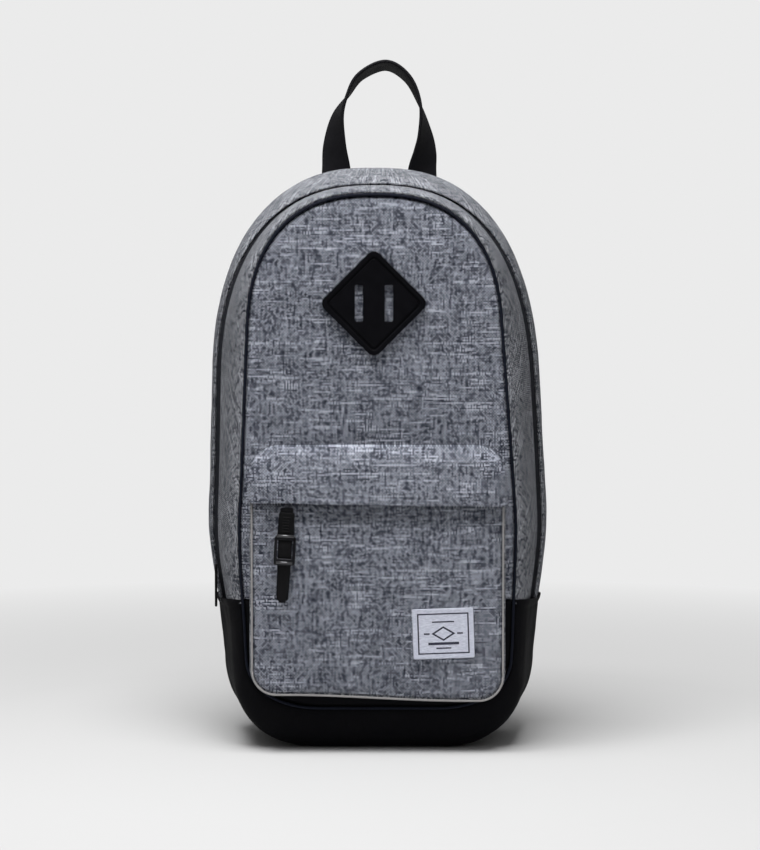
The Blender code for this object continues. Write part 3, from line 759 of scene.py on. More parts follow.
def base_line(y, half, bottom, corner, s, top=None):
    """Points at s (0 to 1): down the left side, across the bottom and up the right side."""
    top = base_top(y) if top is None else top
    t = np.abs(s - 0.5) * 2
    flat, side = 0.25, 0.7
    full = half * side_share(bottom + corner, y)
    straight = FLAT_SHARE * half
    a = np.pi / 2 * np.clip((t - flat) / (side - flat), 0, 1)
    q = 2 / CORNER_POWER
    x = straight + (full - straight) * np.clip(np.sin(a), 0, None) ** q
    z = bottom + corner * (1 - np.clip(np.cos(a), 0, None) ** q)
    x = np.where(t < flat, straight * t / flat, x)
    z = np.where(t < flat, bottom, z)
    z_side = bottom + corner + (top - bottom - corner) * (t - side) / (1 - side)
    x = np.where(t > side, half * side_share(z_side, y), x)
    z = np.where(t > side, z_side, z)
    return np.stack([np.where(s < 0.5, -x, x) + lean(z), np.full_like(x, y), z], axis=1)


def arch_strip(rows, per, steps):
    """Grid over smooth rows of (y, half, top)."""
    s = np.linspace(0, 1, steps)
    return np.stack([arch_line(*row[:3], s) for row in spline_rows(rows, per)])


def panel_grid(y, half, bottom, corner, top=None, low=None, high=None, columns=96, rows=110):
    """Flat grid (x, z) over a panel: arch on top or cut at high, rounded bottom corners or cut at low."""
    a = np.linspace(np.pi, 0, columns)
    c = np.sign(np.cos(a)) * np.abs(np.cos(a)) ** (2 / ARCH)
    if low is None:
        bend = np.clip((np.abs(c) - FLAT_SHARE) / (1 - FLAT_SHARE), 0, 1)
        z_low = bottom + corner * (1 - (1 - bend**CORNER_POWER) ** (1 / CORNER_POWER))
    else:
        z_low = np.full_like(c, low)
    if high is None:
        spring = spring_z(y)
        z_high = spring + (top - spring) * (1 - np.abs(c) ** ARCH) ** (1 / ARCH)
    else:
        z_high = np.full_like(c, high)
    b = np.linspace(0, 1, rows)
    b = 0.5 - 0.5 * np.cos(np.pi * b) * (1 - 0.45 * np.sin(np.pi * b))
    z = z_low[None] + (z_high - z_low)[None] * b[:, None]
    return c[None] * half * side_share(z, y) + lean(z), z


def rim_distance(x, z):
    """How far each point of a grid is from the grid's own rim."""
    flat = np.stack([x, z], axis=2)
    ring = np.concatenate([flat[0], flat[1:, -1], flat[-1, -2::-1], flat[-2:0:-1, 0]])
    a, b = ring, np.roll(ring, -1, axis=0)
    d = b - a
    size = np.maximum(np.sum(d * d, axis=1), 1e-9)
    made = []
    for row in flat:
        t = np.clip(np.sum((row[:, None] - a) * d, axis=2) / size, 0, 1)
        made.append(np.linalg.norm(row[:, None] - a - t[..., None] * d, axis=2).min(axis=1))
    return np.array(made)


def rolled(distance, width, drop):
    """Depth by which a quarter-round edge falls back from a face."""
    away = 1 - np.clip(distance / width, 0, 1)
    return drop * (1 - np.sqrt(1 - away**2))


def stack(x, y, z):
    return np.stack([x, np.broadcast_to(y, x.shape), z], axis=2)


def flat_sheet(name, x, y, z, slot, node, thickness, body="front", faces_front=True):
    """A sheet that stands upright, with its threads level and plumb. It faces the front or the back."""
    away = np.array((0.0, 500.0 if faces_front else -500.0, 150.0))
    sheet(name, stack(x, y, z), slot, body, [node], thickness, np.stack([x, z], axis=2), away)


# ---- body -------------------------------------------------------------------------------


def bias_uv(points, degrees=40.0, turn_over=45.0):
    """Cloth coordinates of a gusset: straight at the top, then slanting towards the front down both sides."""
    across, run = lengths(points, 0), lengths(points, 1)
    middle = [run.shape[1] // 2]
    run = run - run[:, middle]
    a = math.radians(degrees) * np.tanh(run / turn_over)
    step = np.gradient(run, axis=1)
    along, aside = np.cumsum(np.cos(a) * step, axis=1), np.cumsum(np.sin(a) * step, axis=1)
    along, aside = along - along[:, middle], aside - aside[:, middle]
    return np.stack([across * np.cos(a) - aside, along + across * np.sin(a)], axis=2)


def gusset(name, rows, body, replaced, seed):
    """A gusset from rows of (y, half, top, looseness); the cloth wanders where it is loose."""
    points = arch_strip(rows, 4, 260)
    loose = np.clip(spline_rows(rows, 4)[:, 3], 0, 1)[:, None]
    across, run = lengths(points, 0), lengths(points, 1)
    lift = 0.6 * ripple(run / 38, across / 26, seed) + 0.2 * ripple(run / 12, across / 10, seed + 5)
    gathers = 0.16 * np.sin(run / 1.15 + 3 * ripple(run / 24, across / 40, seed + 7))
    lift = (lift + gathers * (1 - loose) * (loose > 0.02)) * loose
    uv = bias_uv(points)
    sheet(name, points + outward(points) * lift[..., None], "crosshatch_side", body, replaced, uv=uv)


gusset(
    "front_gusset_cloth",
    [
        (-37.6, 77.0, 312.8, 0),
        (-39.6, 77.8, 313.4, 0),
        (-40.9, 79.3, 314.9, 0.1),
        (-39.9, 81.2, 316.1, 0.4),
        (-35.0, 84.6, 317.1, 1),
        (-27.0, 87.6, 317.7, 1),
        (-16.0, 90.0, 318.1, 1),
        (-8.0, 91.0, 318.3, 0.5),
        (-5.0, 91.3, 318.3, 0.1),
        (-3.9, 90.7, 317.6, 0),
        (-4.7, 89.9, 316.8, 0),
        (-11.0, 89.1, 316.0, 0),
    ],
    "front",
    ["front_gusset"],
    3.0,
)
gusset(
    "back_gusset_cloth",
    [
        (11.0, 93.4, 317.2, 0),
        (5.6, 94.4, 318.3, 0),
        (4.5, 95.1, 319.2, 0),
        (5.6, 95.7, 320.4, 0.1),
        (12.0, 96.7, 323.2, 0.7),
        (22.0, 97.7, 326.0, 1),
        (32.0, 98.5, 327.8, 0.8),
        (38.0, 97.4, 328.0, 0.3),
        (41.4, 94.2, 326.8, 0),
        (41.2, 92.6, 325.4, 0),
        (39.4, 91.6, 324.2, 0),
    ],
    "bag",
    ["back_gusset"],
    11.0,
)


def base_rows():
    """Rows (y, half, bottom, corner) of the base cover, from its front seam under the bag to the back."""

    def edge(flat_y, side, seam_z, rows):
        """The rounded edge between the flat bottom and a seam. rows holds (degrees, half, corner)."""
        full = 1 - math.cos(math.radians(84))
        for degrees, half, corner in rows:
            a = math.radians(degrees)
            rise = (seam_z - BASE_FLOOR) * (1 - math.cos(a)) / full
            yield flat_y + side * BASE_ROUND * math.sin(a), half, BASE_FLOOR + rise, corner

    front = edge(-30.4, -1, 21.6, ((84, 79.6, 30.0), (60, 82.4, 34.0), (30, 85.4, 40.0), (0, 87.8, 45.0)))
    under = ((-18.0, 91.0), (-6.0, 93.6), (6.0, 95.4), (20.0, 98.0))
    middle = [(y, half, BASE_FLOOR, 45.0) for y, half in under]
    back = edge(31.0, 1, 19.6, ((0, 98.9, 45.0), (30, 98.2, 42.0), (60, 96.8, 38.0), (84, 94.6, 34.0)))
    return [(-38.0, 76.8, 25.0, 28.5), *front, *middle, *back, (39.6, 91.4, 22.8, 33.0)]


def build_base():
    s = np.linspace(0, 1, 220)
    points = np.stack([base_line(*row, s) for row in spline_rows(base_rows(), 4)])
    across, run = lengths(points, 0), lengths(points, 1)
    seam = np.minimum(across, across[-1:] - across)
    loose = smooth(seam / 16)
    lift = 0.5 * ripple(run / 30, across / 24, 21.0) + 0.2 * ripple(run / 10, across / 10, 22.0)
    ends = np.minimum(run, run[:, -1:] - run)
    hem = 0.9 * smooth(1 - ends / 7) - 0.5 * np.exp(-(((ends - 4.5) / 1.0) ** 2))
    points = points + outward(points) * (lift * loose + hem * smooth(seam / 3))[..., None]
    points[..., 2] = np.maximum(points[..., 2], 0.0)
    sheet("base_cover", points, "black_canvas", BASE_BEND, ["base_gusset"])


build_base()


def front_face(x, z, distance):
    """Depth of the front panel's outer face: padded, with soft creases, rolling back to its seam."""
    dome = 2.2 * smooth(distance / 45)
    crease = 0.75 * ripple(x / 75, z / 15, 31.0) + 0.3 * ripple(x / 38, z / 7.5, 32.0)
    return FRONT_Y - 1.4 - dome - crease * smooth(distance / 14) + rolled(distance, 5.0, 2.6)


def build_front_panels():
    half, top, low = FRONT_HALF - 0.7, FRONT_TOP - 0.7, FRONT_BOTTOM + 0.7
    seam = base_top(FRONT_Y)
    x, z = panel_grid(FRONT_Y, half, low, FRONT_CORNER, top=top, low=seam, columns=120, rows=150)
    y = front_face(x, z, rim_distance(x, z))
    flat_sheet("front_panel_cloth", x, y, z, "crosshatch_front", "front_panel", 2.0)
    x, z = panel_grid(FRONT_Y, half, low, FRONT_CORNER, high=seam, columns=96, rows=40)
    distance = rim_distance(x, z)
    bulge = 1.2 * smooth(distance / 18) + 0.4 * ripple(x / 30, z / 12, 35.0) * smooth(distance / 8)
    y = FRONT_Y - 1.3 - bulge + rolled(distance, 5.0, 2.4)
    flat_sheet("front_base_cloth", x, y, z, "black_canvas", "front_base_panel", 2.0)


build_front_panels()


def full_loop(half, top, bottom, corner, y, steps=160):
    """Closed line round a whole panel at depth y."""
    s = np.linspace(0, 1, steps)
    upper = arch_line(y, half, top, s, base_top(y))
    lower = base_line(y, half, bottom, corner, np.linspace(1, 0, steps))[1:-1]
    return np.concatenate([upper, lower])


def piping(name, loop, radius, body, node):
    sweep(name, loop, (0, 1, 0), circle(radius), "piping", body, [node], closed=True)


front_seam = full_loop(FRONT_HALF, FRONT_TOP, FRONT_BOTTOM, FRONT_CORNER, FRONT_Y - 0.7)
back_seam = full_loop(BACK_HALF, BACK_TOP, BACK_BOTTOM, BACK_CORNER, BACK_Y + 0.4)
piping("front_piping_cord", front_seam, 0.85, "front", "front_piping")
piping("back_piping_cord", back_seam, 1.3, "bag", "back_piping")


def build_back():
    x, z = panel_grid(BACK_Y, BACK_HALF, BACK_BOTTOM, BACK_CORNER, top=BACK_TOP, columns=100, rows=140)
    distance = rim_distance(x, z)
    bulge = 1.4 * smooth(distance / 16) + 0.4 * ripple(x / 50, z / 22, 41.0) * smooth(distance / 10)
    y = 41.6 + np.minimum(bulge, 0.9 + 0.3 * smooth(distance / 40)) - rolled(distance, 5.0, 2.2)
    flat_sheet("back_panel_cloth", x, y, z, "black_canvas", "back_panel", 2.0, "bag", False)


build_back()


def pad_form(name, x, z, y_in, y_out, edge, slot, replaced, groove=None):
    """A closed pad: an outer face rolling over its rim to an inner face."""
    distance = rim_distance(x, z)
    depth = y_out - y_in
    face = y_out - rolled(distance, edge, depth * 0.5)
    if groove is not None:
        face = face - groove(x, z, distance)
    inner = y_in + rolled(distance, edge, depth * 0.5)
    rows, columns = x.shape
    outer_points, inner_points = stack(x, face, z), stack(x, inner, z)
    points = np.concatenate([outer_points.reshape(-1, 3), inner_points.reshape(-1, 3)])
    count = rows * columns
    one = grid_faces(rows, columns)
    normals = normals_of(outer_points)
    if normals[..., 1].sum() * (1 if y_out > y_in else -1) < 0:
        one = [f[::-1] for f in one]
    faces = one + [tuple(count + i for i in f[::-1]) for f in one]
    uv = np.tile(np.stack([x, z], axis=2).reshape(-1, 2), (2, 1))
    obj = write_mesh(name, points, faces, uv, slot)
    weld_rim(obj)
    attach(obj, "bag", replaced)
    return obj


def build_back_pad():
    x, z = panel_grid(BACK_Y, BACK_HALF - 16, BACK_BOTTOM + 22, 30.0, top=284.0, columns=90, rows=126)

    def seam_gap(x, z):
        """Distance to the nearest sewn channel: two that run down the pad and a chevron across it."""
        return np.minimum(np.abs(np.abs(x) - 30.0), np.abs(z - (150.0 - 0.35 * np.abs(x))))

    def channels(x, z, distance):
        return 2.1 * np.exp(-((seam_gap(x, z) / 2.6) ** 2)) * smooth(distance / 6)

    pad = pad_form("back_pad_mesh", x, z, 42.6, 46.6, 5.0, "spacer_mesh", ["back_pad"], channels)
    points = vertices_of(pad.data) / MM
    sewn = (points[:, 1] < 44.9) | (seam_gap(points[:, 0], points[:, 2]) < 1.3)
    swell(pad, sewn, 30.0, 0.04, 3.0)
    finer(pad)
    x, z = panel_grid(BACK_Y, BACK_HALF - 10, BACK_BOTTOM + 14, 30.0, top=BACK_TOP - 10, columns=60, rows=70)
    foam = pad_form("back_foam_sheet", x, z, 36.7, 39.4, 1.2, "foam", ["back_foam"])


build_back_pad()


def build_lining():
    for name, half, bottom, corner, top, y, body, node, faces_front, seed in (
        ("liner_front_cloth", 73.8, 29.0, 28.0, 308.4, -37.2, "front", "liner_front", False, 51.0),
        ("liner_back_cloth", 83.2, 24.0, 32.0, 316.0, 35.2, "bag", "liner_back", True, 52.0),
    ):
        x, z = panel_grid(y, half, bottom, corner, top=top, columns=70, rows=90)
        sag = 0.5 * ripple(x / 40, z / 26, seed) * smooth(rim_distance(x, z) / 12)
        flat_sheet(name, x, y + sag, z, "lining", node, 0.6, body, faces_front)
    for node, body, rows in (
        ("liner_front_side", "front", [(-36.0, 76.0, 310.4), (-20.0, 82.4, 311.6), (-4.6, 85.6, 312.6)]),
        ("liner_back_side", "bag", [(4.6, 86.0, 313.0), (19.0, 88.0, 316.5), (33.8, 87.6, 318.4)]),
    ):
        name = node + "_cloth"
        points = arch_strip(rows, 8, 200)
        lift = 0.5 * ripple(lengths(points, 1) / 20, lengths(points, 0) / 12, len(name) * 1.0)
        sheet(name, points + outward(points) * lift[..., None], "lining", body, [node], 0.6)
    rows = [(y, half, 5.6, 42.0) for y, half in ((-33.0, 76.5), (-6.0, 85.0), (19.0, 90.0), (33.5, 89.0))]
    s = np.linspace(0, 1, 120)
    points = np.stack([base_line(*row, s) for row in spline_rows(rows, 8)])
    sheet("liner_base_cloth", points, "lining", BASE_BEND, ["liner_base"], 0.6)


build_lining()


# ---- zips -------------------------------------------------------------------------------


def coil(name, line, reach, up, body, replaced, phase):
    """A nylon coil: close rounded teeth that reach from start to end across the zip's middle."""
    pitch = 1.25
    centres, ahead = spaced(line, pitch)
    centres = centres + unit(ahead) * pitch * phase
    start, end = np.asarray(reach[0], float), np.asarray(reach[1], float)
    across = np.broadcast_to(end - start, centres.shape)
    size = (np.linalg.norm(end - start) / 2, 0.42, 0.62)
    beads(name, centres + (start + end) / 2, across, up(centres), size, "zip_teeth", body, replaced, (6, 5))


def arch_up(centres):
    """Outward direction along the main zip."""
    away = centres - np.array((0.0, 0.0, 165.0))
    away[:, 2] = np.where(centres[:, 2] < 200, 0.0, away[:, 2])
    away[:, 1] = 0
    return away


def build_main_zip():
    s = np.linspace(0, 1, 400)
    line = arch_line(0.0, ZIP_HALF, ZIP_TOP, s)
    coil("front_zip_coil", line, ((0, -2.8, 0), (0, 0.5, 0)), arch_up, "front", ["front_zip_teeth"], 0.0)
    coil("back_zip_coil", line, ((0, 2.8, 0), (0, -0.5, 0)), arch_up, "bag", ["back_zip_teeth"], 0.5)
    edge = (ZIP_HALF - 0.4, ZIP_TOP - 0.4)
    front = [(-11.0, 89.2, 315.8), (-5.2, 90.0, 316.6), (-2.6, ZIP_HALF, ZIP_TOP), (-1.2, *edge)]
    back = [(11.0, 93.2, 317.0), (5.8, 94.3, 318.0), (2.8, 91.2, 316.8), (1.2, *edge)]
    sheet("front_zip_cloth", arch_strip(front, 4, 200), "zip_tape", "front", ["front_zip_tape"], 0.7)
    sheet("back_zip_cloth", arch_strip(back, 4, 200), "zip_tape", "bag", ["back_zip_tape"], 0.7)


build_main_zip()


# ---- pocket -----------------------------------------------------------------------------


def pocket_face(x, z, distance):
    """Depth of the pocket's outer face."""
    dome = 2.4 * smooth(distance / 34)
    crease = 0.55 * ripple(x / 60, z / 13, 61.0) + 0.25 * ripple(x / 26, z / 7, 62.0)
    return POCKET_Y + 0.6 - dome - crease * smooth(distance / 12) + rolled(distance, 4.5, 3.6)


def pocket_bottom(x, bottom):
    """The pocket's bottom edge dips towards the right."""
    return bottom + 1.0 - 3.4 * smooth((x + 50) / 100)


def pocket_grid(half, bottom, corner, top, columns=110, rows=90):
    """Flat grid over the pocket's face, with round bottom corners."""
    c = np.sin(np.linspace(-np.pi / 2, np.pi / 2, columns))
    x = c * half
    reach = np.clip((np.abs(x) - (half - corner)) / corner, 0, 1)
    low = pocket_bottom(x, bottom) + corner * (1 - np.sqrt(1 - reach**2))
    b = 0.5 - 0.5 * np.cos(np.linspace(0, np.pi, rows))
    z = low[None] + (top - low)[None] * b[:, None]
    return np.broadcast_to(x, z.shape), z


def build_pocket():
    half = POCKET_HALF - 1.4
    x, z = pocket_grid(half, POCKET_BOTTOM + 1.0, 13.0, 143.0)
    distance = rim_distance(x, z)
    distance = np.where(z > 125, np.minimum(distance, half - np.abs(x)), distance)
    y = pocket_face(x, z, distance)
    flat_sheet("pocket_face_cloth", x, y, z, "crosshatch_front", "pocket_front", 1.4)

    loop = []
    for cx, cz, r, start in (
        (POCKET_HALF - 18, POCKET_TOP - 18, 18.0, 0),
        (-POCKET_HALF + 18, POCKET_TOP - 18, 18.0, 90),
        (-POCKET_HALF + 14, POCKET_BOTTOM + 14, 14.0, 180),
        (POCKET_HALF - 14, POCKET_BOTTOM + 14, 14.0, 270),
    ):
        for a in np.radians(np.linspace(start, start + 90, 14)):
            loop.append((cx + r * math.cos(a), cz + r * math.sin(a), math.cos(a), math.sin(a)))
    loop = np.array(loop)
    dense = []
    for i in range(len(loop)):
        a, b = loop[i], loop[(i + 1) % len(loop)]
        steps = max(1, int(np.linalg.norm(b[:2] - a[:2]) / 3))
        dense += [a + (b - a) * k / steps for k in range(steps)]
    loop = np.array(dense)
    loop = np.concatenate([loop, loop[:1]])
    dip = (pocket_bottom(loop[:, 0], POCKET_BOTTOM) - POCKET_BOTTOM) * smooth((70 - loop[:, 1]) / 30)
    loop[:, 1] += dip
    section = [(-41.6, 0.4), (-44.0, -0.4), (-48.0, 0.2), (-51.5, 0.4), (-53.6, -0.4), (-53.4, -1.6)]
    rows = spline_rows(section, 3)
    points = np.array([[(px + nx * out, y, pz + nz * out) for px, pz, nx, nz in loop] for y, out in rows])
    wave = 0.35 * ripple(lengths(points, 1) / 16, lengths(points, 0) / 8, 66.0)
    middle = np.array((0, -48.0, 100))
    points += outward(points, middle) * wave[..., None]
    points[:, -1] = points[:, 0]
    sheet("pocket_side_cloth", points, "crosshatch_side", "front", ["pocket_gusset"], 1.2, away_from=middle)


build_pocket()


def build_pocket_seam_highlight():
    """Narrow pale cord round the pocket's face, from hem to hem under the hood; its pale colour is a painted
    highlight along the seam's ridge.
    """
    half, corner = POCKET_HALF - 1.0, 13.4
    a = np.radians(np.linspace(0, 90, 12))
    bend_x, bend_z = half - corner + corner * np.cos(a), corner * (1 - np.sin(a))
    side_z = np.linspace(142.0 - POCKET_BOTTOM, corner, 30)
    right = [(half, z) for z in side_z] + list(zip(bend_x, bend_z))
    middle = [(x, 0.0) for x in np.linspace(half - corner - 4, -half + corner + 4, 24)]
    flat = np.array(right + middle + [(-x, z) for x, z in reversed(right)])
    floor = pocket_bottom(flat[:, 0], POCKET_BOTTOM)
    line = np.stack([flat[:, 0], np.full(len(flat), POCKET_Y + 1.9), floor - 0.3 + flat[:, 1]], axis=1)
    line[:, 2] = np.where(flat[:, 1] > 60, flat[:, 1] + POCKET_BOTTOM, line[:, 2])
    sweep("pocket_seam_highlight_cord", line, (0, 1, 0), circle(0.6, 10), "seam_highlight", "front")


build_pocket_seam_highlight()


def build_hood():
    half, top, corner = POCKET_HALF + 0.9, POCKET_TOP + 1.2, 18.0
    c = np.sin(np.linspace(-np.pi / 2, np.pi / 2, 120))
    x = c * half
    reach = np.clip((np.abs(x) - (half - corner)) / corner, 0, 1)
    high = top - corner * (1 - np.sqrt(1 - reach**2))
    sag = 0.5 * ripple(x / 34, np.zeros_like(x), 71.0) - 0.014 * x + 1.4
    low = HOOD_EDGE_Z + sag
    b = 0.5 - 0.5 * np.cos(np.linspace(0, np.pi, 56))
    z = low[None] + (high - low)[None] * b[:, None]
    x = np.broadcast_to(x, z.shape)
    side = half - np.abs(x)
    crown = high[None] - z
    rim = np.minimum(side, crown)
    flare = 3.6 * (1 - smooth((z - HOOD_EDGE_Z) / 34)) * (0.35 + 0.65 * smooth(side / 14))
    crease = 0.5 * ripple(x / 48, z / 10, 72.0) * smooth(rim / 8)
    y = -58.6 - flare - crease + np.maximum(rolled(side, 5.0, 4.5), rolled(crown, 12.0, 8.0))
    outer = stack(x, y, z)
    # The hem turns under and runs back up behind the flap.
    edge = outer[0]
    hem = ((2.0, 7.0), (2.0, 0.6), (1.8, -0.4), (1.1, -0.75), (0.35, -0.55))
    turn = [edge + np.array((0.0, dy, dz)) for dy, dz in hem]
    x, y, z_all = np.moveaxis(np.concatenate([np.array(turn), outer]), 2, 0)
    flat_sheet("pocket_hood_cloth", x, y, z_all, "crosshatch_front", "pocket_hood", 0.7)
    row = int(np.argmin(np.abs(z[:, 60] - (HOOD_EDGE_Z + 6.5))))
    seam = outer[row, 3:-3] + np.array((0, -0.05, 0))
    stitches("pocket_hood_stitches", seam, (0, -1, 0), "crosshatch_side", "front", 1.9, 1.0, 0.16)


build_hood()


def build_pocket_zip():
    for name, node, z_line, z_from, side, y in (
        ("pocket_tape_upper", "pocket_zip_tape_upper", ZIP_Z + 1.4, 166.0, 1, -56.0),
        ("pocket_tape_lower", "pocket_zip_tape_lower", ZIP_Z - 1.4, 130.0, -1, -55.4),
    ):
        x, z = np.meshgrid(np.linspace(-67.0, 67.0, 80), np.linspace(z_line, z_from, 16))
        wave = 0.25 * ripple(x / 14, z / 9, 81.0 + side)
        flat_sheet(name, x, y + wave, z, "zip_tape", node, 0.7)
    line = [(-64.0, -56.3, ZIP_Z), (66.0, -56.3, ZIP_Z)]

    def up(centres):
        return np.broadcast_to(np.array((0.0, -1.0, 0.0)), centres.shape)

    coil("pocket_coil_upper", line, ((0, 0, 2.8), (0, 0, -0.5)), up, "front", ["pocket_zip_teeth_upper"], 0.0)
    coil("pocket_coil_lower", line, ((0, 0, -2.8), (0, 0, 0.5)), up, "front", ["pocket_zip_teeth_lower"], 0.5)


build_pocket_zip()


LABEL_X, LABEL_Z, LABEL_LEAN = 36.8, 69.0, 2.0


def build_label():
    face = float(pocket_face(np.array([LABEL_X]), np.array([LABEL_Z]), np.array([32.0]))[0])
    ground = facing(face - 0.75, LABEL_X, LABEL_Z, LABEL_LEAN)
    thread = facing(face - 1.25, LABEL_X, LABEL_Z, LABEL_LEAN)
    outline = [box_loop(0, 0, 17.1, 14.1, 0.8)]
    plate("pocket_label", outline, 0.9, 0.3, ground, "woven_label", "front", ["woven_label"])
    sides = ((0, 13.1, 16.0, 0), (0, -13.1, 16.0, 0), (-16.0, 0, 0, 13.1), (16.0, 0, 0, 13.1))
    for k, (dx, dz, w, h) in enumerate(sides):
        ends = thread(np.array([(dx - w, dz - h, 0), (dx + w, dz + h, 0)], float))
        stitches(f"label_stitches_{k}", ends, (0, -1, 0), "woven_label", "front", 1.5, 0.7, 0.13)


build_label()


# ---- rubber tab, pulls, sliders ---------------------------------------------------------


def build_diamond():
    """Lash tab: a rounded square on its corner with a raised rim, a groove inside it and two slots."""
    y = -43.9

    def square(half, radius):
        return rounded([(half, 0), (0, half), (-half, 0), (0, -half)], radius, 8)

    slots = [box_loop(sx, 0, 2.35, 10.3, 0.9, 4) for sx in (-8.4, 8.4)]
    outer = square(TAB_HALF, 4.2)
    place = facing(y - 1.1, TAB_X, TAB_Z)
    plate("diamond_tab_body", [outer, *slots], 2.2, 0.7, place, "rubber", "front", ["diamond_tab"])
    place = facing(y - 2.3, TAB_X, TAB_Z)
    plate("diamond_tab_rim", [outer, square(TAB_HALF - 3.7, 2.6)], 1.6, 0.6, place, "rubber", "front")
    place = facing(y - 2.1, TAB_X, TAB_Z)
    plate("diamond_tab_face", [square(TAB_HALF - 5.2, 2.0), *slots], 1.2, 0.45, place, "rubber", "front")


build_diamond()


PULL_LEAN = -3.2


def pull_at(y, z):
    """Placement of a flat part of the pocket pull: z runs along the pull, which hangs a little askew."""
    a = math.radians(PULL_LEAN)

    def place(p):
        across, along = p[:, 0], p[:, 1] + z - PULL_Z
        x = PULL_X + across * math.cos(a) - along * math.sin(a)
        return np.stack([x, y - p[:, 2], PULL_Z + across * math.sin(a) + along * math.cos(a)], axis=1)

    return place


def build_pocket_pull():
    y, body = PULL_Y, "pocket_pull"
    strap = rounded([(4.7, -6.9), (4.3, 6.5), (-4.3, 6.5), (-4.7, -6.9)], 1.0, 4)
    plate("pull_tab_body", [strap], 1.7, 0.5, pull_at(y, 130.4), "pull_strap", body, ["pocket_pull_tab"])
    for k in range(6):
        rib = box_loop(0, 0, 2.0, 0.42, 0.3)
        plate(f"pull_tab_rib_{k}", [rib], 0.8, 0.28, pull_at(y - 0.95, 126.4 + 1.55 * k), "pull_strap", body)
    frame = [box_loop(0, 0, 6.0, 8.4, 1.8), box_loop(0, 0.7, 4.4, 5.2, 0.9)]
    place = pull_at(y - 1.3, 115.8)
    plate("pull_buckle_frame", frame, 1.6, 0.6, place, "black_metal", body, ["pocket_pull_buckle"])
    for name, z, reach, out in (("pull_buckle_bar", 123.9, 4.9, 2.0), ("pull_buckle_foot", 108.9, 4.6, 1.7)):
        ends = np.array([(-reach, 0, 0), (0, 0, 0), (reach, 0, 0)], float)
        sweep(name, pull_at(y - out, z)(ends), (0, 1, 0), circle(0.85, 12), "steel", body)
    z = np.linspace(122.0, 86.4, 48)
    share = (122.0 - z) / (122.0 - 86.4)
    over = 1.3 * np.exp(-(((z - 116.5) / 3.6) ** 2))
    flat = np.stack([np.zeros_like(z), z - PULL_Z, over], axis=1)
    widths = (1.08 - 0.2 * share) * (1 - 0.55 * smooth((share - 0.94) / 0.06))
    line = pull_at(y, PULL_Z)(flat)
    band = band_profile(7.4, 1.4)
    sweep("pull_tail", line, (1, 0, 0), band, "pull_strap", body, ["pocket_pull_tail"], widths=widths)


build_pocket_pull()


def slider_parts(prefix, place, body, slot, replaced, arm=0.0):
    """A zip slider: two tapered plates joined by a post, with a bridge for the pull.

    place turns (across, along, out) into the frame; arm is how far aside a plate reaches for the pull.
    """
    shape = rounded([(-3.0, -4.5), (3.0, -4.5), (3.4, 0.0), (2.2, 4.5), (-2.2, 4.5), (-3.4, 0.0)], 0.9, 4)

    def at(out):
        return lambda p: place(p + np.array((0.0, 0.0, out)))

    plate(prefix + "_outer_plate", [shape], 1.0, 0.35, at(2.3), slot, body, replaced)
    plate(prefix + "_inner_plate", [shape], 0.8, 0.3, at(-3.9), slot, body)
    plate(prefix + "_post", [box_loop(0, 2.2, 0.5, 1.8, 0.3)], 6.0, 0.1, at(-0.8), slot, body)
    plate(prefix + "_bridge", [box_loop(0, 0, 0.9, 3.4, 0.5)], 1.2, 0.4, at(3.0), slot, body)
    if arm:
        plate(prefix + "_arm", [box_loop(-arm, 0, 2.6, 3.6, 0.8)], 0.9, 0.3, at(2.3), slot, body)


def build_sliders():
    def pocket(p):
        return np.stack([PULL_X + p[:, 1], -56.0 - p[:, 2], ZIP_Z + p[:, 0]], axis=1)

    slider_parts("pocket_slider", pocket, "pocket_slider", "black_metal", ["pocket_slider"], 7.6)

    z = 101.5
    x = -ZIP_HALF * float(side_share(z, 0.0))

    def main(p):
        return np.stack([x + 0.6 - p[:, 2], p[:, 0], z + p[:, 1]], axis=1)

    slider_parts("main_slider", main, "main_slider", "black_metal", ["main_slider"])

    def hung(p):
        return np.stack([x - 4.9 - p[:, 2], p[:, 0], z + p[:, 1]], axis=1)

    strap = [box_loop(0, -12.7, 2.8, 12.3, 1.8)]
    plate("main_pull_strap", strap, 1.3, 0.4, hung, "pull_strap", "main_pull", ["main_pull"])


build_sliders()


# ---- carry loop and strap ---------------------------------------------------------------


# The carry loop's middle line, and how far the webbing has turned from facing the front, in degrees.
HAUL_KNOTS = (
    (-23.8, 314.0, 12),
    (-24.1, 327.0, 28),
    (-25.0, 341.0, 46),
    (-23.2, 357.5, 70),
    (-17.4, 370.0, 92),
    (-9.8, 381.2, 101),
    (5.0, 387.4, 105),
    (17.6, 379.6, 101),
    (24.7, 364.6, 91),
    (27.6, 348.0, 66),
    (27.6, 337.0, 46),
    (26.0, 326.3, 28),
    (25.4, 314.0, 12),
)


def build_haul_loop():
    knots = spline_rows(HAUL_KNOTS, 12)
    line = np.stack([knots[:, 0], np.full(len(knots), 44.4), knots[:, 1]], axis=1)
    ahead = heading(line)
    edge = np.stack([ahead[:, 2], np.zeros(len(line)), -ahead[:, 0]], axis=1)
    turn = np.radians(knots[:, 2])[:, None]
    across = edge * np.cos(turn) - np.array((0, 1.0, 0)) * np.sin(turn)
    bend = ("bag", "haul", (0, 0.044, 0.322), (0, 0.044, 0.335))
    sweep("haul_webbing", line, across, band_profile(18.8, 1.9), "webbing", bend, ["haul_loop"])
    loop, place = box_loop(0, 0, 41.0, 8.0, 2.0), facing(43.9, 0, 310.5)
    plate("haul_patch_cloth", [loop], 1.6, 0.4, place, "black_canvas", "bag", ["haul_patch"])
    for k, z in enumerate((303.8, 317.2)):
        seam = [(-39.5, 44.75, z), (39.5, 44.75, z)]
        stitches(f"haul_patch_stitches_{k}", seam, (0, 1, 0), "piping", "bag")


build_haul_loop()


